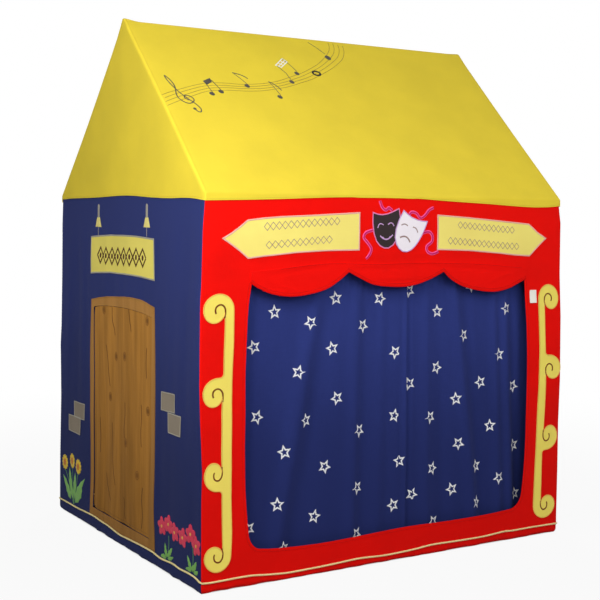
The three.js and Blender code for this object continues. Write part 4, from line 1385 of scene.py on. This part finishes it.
makeCurtain("left", 70)
makeCurtain("right", 75)
for side in ("left", "right"):
    makeLead(side)
print("the curtains are drawn")

# Sewn on the front: two arrows, two masks with their ribbons, two scrolls and a blank label
arrows = {
    "left": mm([(-128, 828), (-128.5, 923), (-178, 920), (-275, 914.5), (-370, 910.5), (-416, 907),
        (-461, 901.5), (-482, 885), (-503, 870), (-526, 856), (-503, 841), (-482, 826), (-460, 808.5),
        (-415, 815), (-369, 819), (-322, 823), (-226, 826)]),
    "right": mm([(129, 825), (189, 823.5), (242, 821.5), (296, 818), (351, 814.5), (407, 808.5),
        (461, 804.5), (479, 821), (499, 838), (519.5, 854.5), (489, 872), (474.5, 884), (458, 895.5),
        (406, 900), (350, 904.5), (295, 908.5), (188, 915), (129, 918)]),
    "edge": 0.0042,
    "tilt": 0.065,
    # start of each row of lozenges, how many, their pitch and the row's height at the arrow's inner end
    "rows": {
        "left": [(0.19, 13, 0.0173, 0.906), (0.214, 11, 0.0178, 0.8605)],
        "right": [(0.198, 12, 0.0171, 0.897), (0.164, 15, 0.0171, 0.851)],
    },
}


def chain(start, count, pitch, size):
    # a plain border of touching lozenges, as two zigzag lines
    zigzag = [(start + pitch * k / 2, size * (k % 2)) for k in range(2 * count + 1)]
    return [zigzag, [(x, -z) for x, z in zigzag]]


def makeArrow(name):
    face = walls["front"]
    outline = arrows[name] if name == "right" else list(reversed(arrows[name]))
    makePatch("arrow_" + name, "arrow_sign_" + name, face, outline, "paleYellow")
    makeEdge("arrow_" + name, face, outline, arrows["edge"], "pink", "pale_yellow_cloth", height=0.0007)
    motif = Stitching(face, patchLift)
    for start, count, pitch, height in arrows["rows"][name]:
        for points in chain(start, count, pitch, 0.0095):
            points = [(x, height + z - arrows["tilt"] * (x - 0.128)) for x, z in points]
            motif.line(mirrored(points) if name == "left" else points, 0.0016, 0.0004)
    motif.sewn(f"arrow_{name}_motif", threads["mauve"], "pale_yellow_cloth")


makeArrow("left")
makeArrow("right")

masks = mm({
    "dark": [(-85.5, 924), (-70, 919.5), (-55, 918.5), (-38, 921), (-22, 926.5), (-2, 935), (3, 910),
        (1, 880), (-7, 854), (-18, 839), (-33, 831), (-47, 831.5), (-61, 838), (-73, 851), (-81, 870),
        (-85.5, 897)],
    "light": [(13, 930), (26, 920), (41, 911), (60, 904), (76, 901), (91.5, 900), (85, 884), (74, 862),
        (64, 847), (53, 834), (40, 824), (26, 819.5), (12, 821), (0, 829), (-9, 842), (-13.5, 859),
        (-11, 880), (-1, 906)],
})
maskEdge = 0.0032
# what differs between them, and their strokes: middle, half length, rise, lean and width
maskLooks = {
    "dark": {"cloth": "black", "edge": "rose", "thread": "lilac", "lift": 0.0, "strokes": [
        (-0.0605, 0.888, 0.01, 0.0075, 0.4, 0.003), (-0.027, 0.8905, 0.01, 0.0065, -0.2, 0.003),
        (-0.041, 0.8645, 0.0205, -0.0105, 0.03, 0.0036), (-0.041, 0.8615, 0.0125, -0.0085, 0.03, 0.0024)]},
    "light": {"cloth": "white", "edge": "lilac", "thread": "mauve", "lift": 0.0016, "strokes": [
        (0.0165, 0.8895, 0.0105, 0.004, -0.1, 0.0034), (0.052, 0.8775, 0.011, 0.004, -0.75, 0.0034),
        (0.019, 0.851, 0.018, 0.0085, -0.38, 0.0046)]},
}


def bow(centre, half, rise, lean):
    # a curved stroke, bent up by rise
    points = [(-half, 0), (-half * 0.5, rise * 0.75), (0, rise), (half * 0.5, rise * 0.75), (half, 0)]
    return throughPoints(turned(points, centre, lean), 3)


def makeMask(name):
    look = maskLooks[name]
    slot = look["cloth"] + "_cloth"
    face = Lifted(walls["front"], look["lift"])
    makePatch("mask_" + name, "mask_" + name, face, masks[name], look["cloth"], 0.005)
    makeEdge("mask_" + name, face, masks[name], maskEdge, look["edge"], slot, 0.006)
    lines = Stitching(face, patchLift)
    for x, z, half, rise, lean, width in look["strokes"]:
        lines.line(bow((x, z), half, rise, lean), width, 0.0005)
    lines.sewn(f"mask_{name}_face", threads[look["thread"]], slot)


ribbons = mm([
    [(-64, 955), (-56, 938), (-44, 931), (-35, 937), (-24, 930)],
    [(114, 939), (99, 932), (85, 917), (70, 910), (56, 923), (41, 926), (33, 919)],
    [(-104, 804), (-91, 820), (-89, 832), (-101, 847), (-113, 860), (-106, 873), (-84, 879)],
    [(132, 819), (112, 813), (96, 819), (94, 833), (110, 845), (111, 861), (99, 872), (78, 868)]])


def makeRibbons():
    # a broad strip, and a darker one along its middle
    strips, lines = Stitching(walls["front"], 0.0002), Stitching(walls["front"], 0.0011)
    for points in ribbons:
        path = throughPoints(points, 5)
        strips.line(path, 0.0084, 0.0009)
        lines.line(path, 0.0038, 0.0003)
    strips.sewn("mask_ribbons", threads["brightPink"], "red_cloth")
    lines.sewn("mask_ribbon_middles", threads["magenta"], "red_cloth")


makeRibbons()
makeMask("dark")
makeMask("light")

# distances are measured from the corner of the house, heights from the floor
scrolls = mm({
    "left": {
        "outer": (10, 10, 7, 9),  # the outer edges of the four lobes, from the top
        "bar": [(80, 58.5), (240, 58.5), (330, 54.5), (435, 54.5), (530, 61), (640, 63)],
        "inner": [(80, 80), (140, 84), (250, 83), (350, 80), (450, 78.5), (520, 80.5), (590, 83.5),
            (680, 83.5)],
    },
    "right": {
        "outer": (14, 5, 10, 14.5),
        "bar": [(80, 66.5), (240, 66.5), (350, 60), (390, 58.5), (445, 57.5), (570, 61.5), (640, 61.5)],
        "inner": [(80, 93.5), (160, 92.5), (230, 89.5), (300, 87.5), (365, 84.5), (435, 80.5), (540, 79.5),
            (680, 81.5)],
    },
    "heights": (683, 480, 282, 84),  # the middles of the lobes
    "rise": 38,  # how far a lobe reaches from there towards the scroll's nearer end
    "foot": 35,  # the same for the lowest lobe
    "droop": 31,  # and towards the scroll's middle
    "fillet": 10,
    "edge": 3,
    "curl": 4.2,
})


def scrollOutline(look):
    # the left-hand way round: up the inner edge, over the top lobe and down the outer side
    top, high, low, bottom = scrolls["heights"]
    rise, droop, fillet = scrolls["rise"], scrolls["droop"], scrolls["fillet"]

    def bar(z):
        return curve(z, look["bar"])

    def inner(z):
        return curve(z, look["inner"])

    def lobe(k, z, height, start, end, side=bar):
        # part of the ellipse between a lobe's outer edge and another line
        out = look["outer"][k]
        return arc(((side(z) + out) / 2, z), ((side(z) - out) / 2, height), start, end, 16)

    def shoulder(k, z, start, end):
        near = bar(z) - fillet
        return arc((near, z), (near - look["outer"][k], rise), start, end, 12)

    above, below = high + rise + fillet, low - rise - fillet
    line = [(inner(z), z) for z in np.linspace(bottom, top, 22)[:-1]]
    line += lobe(0, top, rise, 0, 180, inner) + lobe(0, top, droop, 180, 360)[1:-1]
    line += [(bar(z), z) for z in np.linspace(top - 0.012, above + 0.004, 6)]
    line += arc((bar(above) - fillet, above), (fillet, fillet), 0, -90, 5)
    line += shoulder(1, high, 90, 180)[1:]
    line += lobe(1, high, droop, 180, 360)[1:-1]
    line += [(bar(z), z) for z in np.linspace(high - 0.012, low + 0.012, 6)]
    line += lobe(2, low, droop, 0, 180)[1:-1] + shoulder(2, low, 180, 270)
    line += arc((bar(below) - fillet, below), (fillet, fillet), 90, 0, 5)[1:]
    line += [(bar(z), z) for z in np.linspace(below - 0.004, bottom + 0.012, 4)]
    line += lobe(3, bottom, droop - 0.005, 0, 180)[1:-1]
    line += lobe(3, bottom, scrolls["foot"], 180, 360, inner)[:-1]
    return [(float(x) - house["half"], float(z)) for x, z in line]


def curlLine(look, height, up):
    # the brown line inside a lobe, from the bar round to the lobe's middle
    points = mm([(-1.3, -20.4), (0, -7), (-0.9, 2.6), (-6.4, 10.6), (-14, 12.3), (-21.7, 7.7),
        (-24.2, -0.9), (-22.5, -8.5)])
    start = curve(height, look["bar"]) - house["half"]
    return throughPoints([(start + x, height + up * y) for x, y in points], 4)


def makeScroll(name):
    face, look = walls["front"], scrolls[name]
    facing = mirrored if name == "right" else list
    outline = facing(scrollOutline(look))
    makePatch("scroll_" + name, "scroll_" + name, face, outline, "scroll")
    makeEdge("scroll_" + name, face, outline, scrolls["edge"], "amber", "pale_yellow_cloth", 0.008)
    curls = Stitching(face, patchLift)
    for height, up in zip(scrolls["heights"], (1, 1, -1, -1)):
        curls.line(facing(curlLine(look, height, up)), scrolls["curl"], 0.0006)
    curls.sewn(f"scroll_{name}_curls", threads["brown"], "pale_yellow_cloth")


makeScroll("left")
makeScroll("right")


def makeTab():
    low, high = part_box("side_tab")
    outline = [(low.x, low.z), (high.x, low.z), (high.x, high.z), (low.x, high.z)]
    face = Lifted(walls["front"], lambda a, b: 0.0022 * smooth((high.z - 0.008 - b) / 0.03))
    makePatch("side_tab", "side_tab", face, outline, "cream", 0.003)
    fold = Stitching(face, patchLift)
    fold.row([(low.x + 0.001, high.z - 0.004), (high.x - 0.001, high.z - 0.004)], pitch=0.003, length=0.002)
    fold.sewn("side_tab_stitches", threads["white"], "white_cloth")


makeTab()
print("the front is trimmed")

# Sewn on the left wall: a sign on two hangers, stones and flowers
sign = {
    "outline": mm([(-233, 847), (-228, 741), (-157, 746), (-90, 750.5), (3, 749), (109, 746), (199, 741),
        (195, 847), (89, 851), (1, 853), (-90, 855), (-161, 852)]),
    "edge": 0.0045,
    "border": (-0.184, 8, 0.0415, 0.796),  # its lozenges' start, how many, their pitch and height
    "hangers": (-0.186, 0.15),
    "cone": mm([(-21, 877), (21, 877), (17, 886), (9, 905), (-9, 905), (-17, 886)]),  # round a hanger
}


def makeSign():
    face = walls["left"]
    makePatch("stage_door_sign", "stage_door_sign", face, sign["outline"], "sign")
    makeEdge("stage_door_sign", face, sign["outline"], sign["edge"], "grey", "grey_cloth")
    motif = Stitching(face, patchLift)
    start, count, pitch, height = sign["border"]
    for points in chain(start, count, pitch, 0.023):
        motif.line([(x, height + z) for x, z in points], 0.0058, 0.0008)
    for k in range(count):
        motif.shape(disc((start + 0.021 + pitch * k, height), (0.0062, 0.008)), 0.0009)
    motif.sewn("stage_door_sign_motif", threads["bark"], "brown_cloth")
    bars, cones, wires = Stitching(face), Stitching(face), Stitching(face)
    for x in sign["hangers"]:
        bars.line([(x, 0.938), (x, 0.934), (x, 0.904)], 0.0135, 0.0012)
        bars.shape(disc((x, 0.937), (0.0052, 0.005)), 0.0012)
        cones.shape([(x + across, z) for across, z in sign["cone"]], 0.0009)
        wires.line([(x, 0.877), (x, 0.853)], 0.0026, 0.0006)
    bars.sewn("hanger_bars", threads["grey"], "grey_cloth")
    cones.sewn("hanger_cones", threads["yellow"], "pale_yellow_cloth")
    wires.sewn("hanger_wires", threads["grey"], "grey_cloth")


stones = mm({  # a pair of stones at each side of the door, the upper one first
    "front": [[(253, 412), (340, 415), (338, 460), (252, 457)],
        [(302, 362), (373, 362), (377, 411), (299, 410)]],
    "back": [[(-359, 304), (-278, 306), (-277, 352), (-363, 350)],
        [(-403, 256), (-309, 257), (-307, 307), (-404, 303)]],
})


def makeStones():
    for name, pair in stones.items():
        for k, outline in enumerate(pair):
            level = "lower" if k else "upper"
            wall = Lifted(walls["left"], 0.0002 * k)
            makePatch(f"stone_{name}_{level}", None if k else "stone_patch_" + name, wall, outline, "grey")
            makeEdge(f"stone_{name}_{level}", wall, outline, 0.0028, "grey", "grey_cloth")


def petalLoop(length, width):
    half = width / 2
    return [(0, 0), (half * 0.7, length * 0.25), (half, length * 0.55), (half * 0.6, length * 0.88),
            (0, length), (-half * 0.6, length * 0.88), (-half, length * 0.55), (-half * 0.7, length * 0.25)]


def sewPetals(stitches, size, count, place, turn, height):
    # petals side by side round a place
    for k in range(count):
        angle = math.radians(turn + 360 / count * k)
        stitches.shape(turned(petalLoop(*size), place, angle), height)


def leafLoop(points, width):
    # a leaf along a curved line, widest a third of the way up
    line = [Vector(p) for p in throughPoints(points, 4)]
    count = len(line) - 1
    left, right = [], []
    for i, p in enumerate(line[1:-1], 1):
        tangent = (line[i + 1] - line[i - 1]).normalized()
        side = Vector((-tangent.y, tangent.x))
        t = i / count
        half = width / 2 * math.sin(math.pi * t ** 0.8) * (1 + 0.18 * (-1) ** i)
        left.append(tuple(p + side * half))
        right.append(tuple(p - side * half))
    return [tuple(line[0]), *right, tuple(line[-1]), *reversed(left)]


flowers = {
    # length and width of the petals, width of the leaves; a head is x, z and turn in degrees
    "yellowPetal": (0.0235, 0.0125),
    "orangePetal": (0.0115, 0.0075),
    "pinkPetal": (0.0258, 0.0195),
    "heart": (0.0042, 0.0042),
    "yellowLeaf": 0.024,
    "pinkLeaf": 0.0145,
    "yellowHeads": [(-0.437, 0.151, 4), (-0.376, 0.166, -3), (-0.32, 0.16, -14)],
    "yellowFoot": mm((-362, 32)),
    "yellowLeaves": mm([[(-385, 45), (-412, 75), (-452, 112)], [(-368, 50), (-392, 100), (-402, 143)],
        [(-360, 50), (-352, 100), (-346, 138)], [(-350, 45), (-322, 86), (-268, 135)],
        [(-352, 40), (-310, 78), (-292, 108)]]),
    "pinkHeads": [(0.266, 0.116, 8), (0.304, 0.129, -6), (0.342, 0.117, 14), (0.387, 0.114, -10),
        (0.428, 0.131, 4), (0.459, 0.11, 16)],
    # foot, top and middle of each pink stem
    "pinkFeet": mm([((296, 34), (305, 100), (306, 74)), ((441, 36), (438, 104), (443, 80))]),
    "pinkLeaves": mm([[(296, 36), (288, 56), (283, 78)], [(298, 40), (312, 58), (326, 74)],
        [(290, 33), (275, 38), (258, 34)], [(300, 34), (318, 40), (334, 50)],
        [(436, 40), (424, 58), (412, 78)], [(443, 42), (452, 58), (461, 74)],
        [(434, 36), (418, 40), (402, 36)], [(446, 37), (460, 42), (469, 52)],
        [(440, 36), (442, 52), (447, 62)]]),
}


def makeFlowers():
    face = walls["left"]
    yellow, orange, pink, heart = (Stitching(face, lift) for lift in (0.0, 0.0009, 0.0, 0.0012))
    leaves, stems = Stitching(face), Stitching(face)
    for x, z, turn in flowers["yellowHeads"]:
        stem = [flowers["yellowFoot"], (x * 0.5 - 0.18, 0.09), (x, z - 0.018)]
        stems.line(throughPoints(stem, 5), 0.004)
        sewPetals(yellow, flowers["yellowPetal"], 12, (x, z), turn, 0.001)
        sewPetals(orange, flowers["orangePetal"], 8, (x, z), turn + 12, 0.0008)
    for points in flowers["yellowLeaves"]:
        leaves.shape(leafLoop(points, flowers["yellowLeaf"]), 0.0009)
    stems.line([flowers["yellowFoot"], (-0.3605, 0.075)], 0.011, 0.0007)
    for foot, top, middle in flowers["pinkFeet"]:
        stems.line(throughPoints([foot, middle, top], 5), 0.0034)
    for x, z, turn in flowers["pinkHeads"]:
        sewPetals(pink, flowers["pinkPetal"], 5, (x, z), turn, 0.001)
        heart.shape(disc((x, z), flowers["heart"], 8))
    for points in flowers["pinkLeaves"]:
        leaves.shape(leafLoop(points, flowers["pinkLeaf"]), 0.0009)
    stems.sewn("flower_stems", threads["stem"], "navy_cloth")
    leaves.sewn("flower_leaves", threads["leaf"], "navy_cloth")
    yellow.sewn("yellow_petals", threads["petalYellow"], "pale_yellow_cloth")
    orange.sewn("yellow_flower_middles", threads["petalOrange"], "pale_yellow_cloth")
    pink.sewn("pink_petals", threads["petalPink"], "red_cloth")
    heart.sewn("pink_flower_middles", threads["petalHeart"], "pale_yellow_cloth")


makeSign()
makeStones()
makeFlowers()
print("the left wall is trimmed")

# Stitched music on the front slope: x and the distance up the slope
music = mm({
    "staff": [(-583, 337), (-534, 365), (-476, 395), (-423, 415), (-364, 423), (-308, 425), (-244, 434),
        (-182, 451), (-120, 478), (-60, 508), (8, 552), (69, 604), (93, 640), (100, 668)],
    "gaps": [(-583, 12.5), (-420, 10.5), (-200, 9.2), (0, 12), (100, 16.5)],
    "clef": [(-500, 352), (-511, 360), (-506, 371), (-491, 369), (-485, 355), (-498, 341), (-513, 340),
        (-528, 353), (-531, 372), (-526, 394), (-525, 414), (-531, 434), (-540, 447), (-539, 430),
        (-530, 404), (-514, 374), (-490, 344), (-478, 322), (-481, 308), (-489, 307), (-496, 318)],
    # a beamed pair, two flagged notes, a second pair, a whole note and a long-stemmed one
    "firstBeam": [(-430, 440), (-424, 423), (-401, 440), (-403, 456)],
    "paleBeam": [(-163, 537), (-147, 530), (-116, 558), (-128, 571)],
    "paleRungs": [[(-155, 533.5), (-122, 564.5)], [(-151, 549), (-136, 540)], [(-139, 560), (-125, 549)]],
    # straight lines, then bent ones, each with its width
    "stems": [([(-423, 424), (-417, 393)], 2.4), ([(-401, 446), (-386, 405)], 2.4),
        ([(-161, 538), (-129, 571)], 2), ([(-160, 536), (-141, 505), (-136, 478)], 2.2),
        ([(-128, 570), (-112, 545), (-99, 518)], 2.2), ([(0, 664), (22, 641), (40, 614)], 2.2)],
    "flags": [([(-290, 438), (-303, 462), (-318, 484)], 2.2),
        ([(-322, 488), (-306, 484), (-290, 476), (-281, 466)], 3.6),
        ([(-201, 402), (-207, 430), (-216, 457)], 2.2),
        ([(-218, 460), (-204, 450), (-194, 438), (-189, 424)], 3.6)],
})
noteHeads = [  # x, distance up the slope, turn in degrees and size
    (-0.4205, 0.387, -25, 1), (-0.389, 0.399, -25, 1), (-0.295, 0.434, -35, 1), (-0.206, 0.395, -35, 1),
    (-0.137, 0.468, -30, 1), (-0.103, 0.509, -30, 1), (0.043, 0.598, -50, 1.3)]


def makeMusic():
    face = slopes["front"]
    staff, clef, notes, pale, whole = (Stitching(face) for _ in range(5))
    middle = [Vector(p) for p in throughPoints(music["staff"], 5)]
    for level in (-1.5, -0.5, 0.5, 1.5):
        line = []
        for i, p in enumerate(middle):
            tangent = (middle[min(i + 1, len(middle) - 1)] - middle[max(i - 1, 0)]).normalized()
            gap = curve(p.x, music["gaps"])
            wobble = 0.0012 * ripple(p.x * 14, level, 80)
            line.append(tuple(p + Vector((-tangent.y, tangent.x)) * (gap * level + wobble)))
        inside = [q for q in line if abs(q[0]) < 0.5795 and q[1] < slopeLength - 0.012]
        staff.line(inside, 0.0017, 0.0004)
    staff.sewn("staff_lines", threads["faint"], "yellow_cloth")
    clef.line(throughPoints(music["clef"], 4), 0.0036, 0.0007)
    clef.shape(disc(music["clef"][-1], (0.005, 0.005), 8))
    clef.sewn("clef", threads["slate"], "black_cloth")
    notes.shape(music["firstBeam"])
    for points, width in music["stems"]:
        notes.line(points, width)
    for points, width in music["flags"]:
        notes.line(throughPoints(points, 4), width)
    for x, z, turn, size in noteHeads:
        oval = disc((0, 0), (0.0086 * size, 0.0074 * size), 12)
        notes.shape(turned(oval, (x, z), math.radians(turn)), 0.0009)
    notes.sewn("notes", threads["slate"], "black_cloth")
    pale.line(spread(music["paleBeam"], 0.01, True), 0.0034, 0.0007, True)
    for points in music["paleRungs"]:
        pale.line(points, 0.003)
    pale.sewn("pale_beam", threads["white"], "white_cloth")
    whole.line(disc((-0.032, 0.518), (0.0125, 0.009), 30), 0.0074, 0.0009, True)
    whole.sewn("whole_note", threads["dark"], "black_cloth")


def makeRoofStitches():
    # rows of stitches along the roof's hems and its rakes
    for name, face in (*slopes.items(), *gables.items()):
        sewing = Stitching(face)
        reach = (house["roofHalf"] if name in slopes else house["roofDepth"]) - 0.008
        base = house["fold"] if name in slopes else 0.0
        places = [float(x) for x in np.linspace(-reach, reach, 60)]
        sewing.row([(x, hemEdge(name, x) - base + 0.004) for x in places])
        if name in slopes:
            for side in (-1, 1):
                sewing.row([(side * reach, 0.01), (side * reach, slopeLength - 0.01)])
        sewing.sewn(f"roof_stitches_{name}", threads["hem"], "yellow_cloth")


makeMusic()
makeRoofStitches()
print("the roof is stitched")


# Floor, lamps and camera
def emptyTree(owner):
    # the nodes of a material or world, and 1 for the rays that are seen straight or in a shiny thing
    owner.use_nodes = True
    owner.node_tree.nodes.clear()
    shade = Shade(owner.node_tree)
    rays = ("Is Camera Ray", "Is Glossy Ray", "Is Transmission Ray")
    seen = sum(shade.node("ShaderNodeLightPath", output=ray) for ray in rays)
    return shade, seen.math("MINIMUM", 1.0)


def makeFloor():
    material = bpy.data.materials.new("studio_floor")
    shade, seen = emptyTree(material)
    place = shade.node("ShaderNodeTexCoord", output="Object")
    distance = place.node("ShaderNodeVectorMath", {"operation": "LENGTH"}, {0: place}, "Value")
    share = seen * (0.93 + distance.between(0.9, 3.0) * 0.07)
    beside = place.part(0).math("ABSOLUTE").between(house["half"] - 0.02, house["half"])
    behind = place.part(1).math("ABSOLUTE").between(house["depth"] - 0.02, house["depth"])
    share = share * beside.math("MAXIMUM", behind)  # the floor inside the house stays dark
    plain = shade.node("ShaderNodeBsdfDiffuse", inputs={"Color": (0.35, 0.35, 0.35, 1)})
    white = shade.node("ShaderNodeEmission", inputs={"Color": (1, 1, 1, 1), "Strength": 1.0})
    mixed = shade.node("ShaderNodeMixShader", inputs={0: share, 1: plain, 2: white})
    shade.node("ShaderNodeOutputMaterial", inputs={"Surface": mixed})
    points = [(x, y, -0.0005) for x, y in ((-30, -30), (30, -30), (30, 30), (-30, 30))]
    addPiece("floor", points, [[0, 1, 2, 3]], [p[:2] for p in points], material)


def makeWorld():
    world = bpy.data.worlds.new("studio")
    bpy.context.scene.world = world
    shade, seen = emptyTree(world)
    fill, white = (shade.node("ShaderNodeBackground", inputs={"Color": (1, 1, 1, 1), "Strength": strength})
                   for strength in (studio["fill"], 1.0))
    mixed = shade.node("ShaderNodeMixShader", inputs={0: seen, 1: fill, 2: white})
    shade.node("ShaderNodeOutputWorld", inputs={"Surface": mixed})


studio = {
    "fill": 0.42,
    # place, aim, size and watts of each soft lamp: at the left, in front, over the front, at the
    # right and a weak one behind
    "lamps": [((-1.5, -1.0, 1.35), (-0.5, -0.3, 0.8), 0.7, 14.5),
              ((-0.6, -2.6, 1.55), (0.0, -0.4, 0.8), 1.0, 12.5),
              ((-0.5, -1.7, 2.0), (-0.1, -0.4, 1.0), 0.7, 5),
              ((0.9, -2.3, 1.5), (0.3, -0.4, 0.8), 0.8, 6),
              ((1.5, 2.3, 1.9), (0.2, 0.3, 0.9), 1.0, 42)],
    "eye": (-1.8635, -3.0080, 0.9107),
    "yaw": 31.614,
    "roll": 0.581,
    "lens": 70.51,
    "shift": -0.1386,
}


def makeLamps():
    for k, (place, aim, size, power) in enumerate(studio["lamps"]):
        data = bpy.data.lights.new(f"lamp_{k}", "AREA")
        data.size = size
        data.energy = power
        lamp = bpy.data.objects.new(f"lamp_{k}", data)
        lamp.location = place
        lamp.visible_camera = False
        lamp.rotation_euler = (Vector(aim) - Vector(place)).to_track_quat("-Z", "Y").to_euler()
        bpy.context.scene.collection.objects.link(lamp)


def makeCamera():
    yaw, roll = math.radians(studio["yaw"]), math.radians(studio["roll"])
    right = Vector((math.cos(yaw), -math.sin(yaw), 0))
    ahead = Vector((math.sin(yaw), math.cos(yaw), 0))
    up = Vector((0, 0, 1))
    tilted = right * math.cos(roll) + up * math.sin(roll)
    upright = up * math.cos(roll) - right * math.sin(roll)
    turn = Matrix((tilted, upright, -ahead)).transposed().to_4x4()
    data = bpy.data.cameras.new("camera")
    data.lens = studio["lens"]
    data.sensor_width = 36
    data.shift_y = studio["shift"]
    camera = bpy.data.objects.new("camera", data)
    camera.matrix_world = Matrix.Translation(studio["eye"]) @ turn
    bpy.context.scene.collection.objects.link(camera)
    bpy.context.scene.camera = camera


makeFloor()
makeWorld()
makeLamps()
makeCamera()
bpy.context.scene.view_settings.view_transform = "Standard"
print("the studio is set")
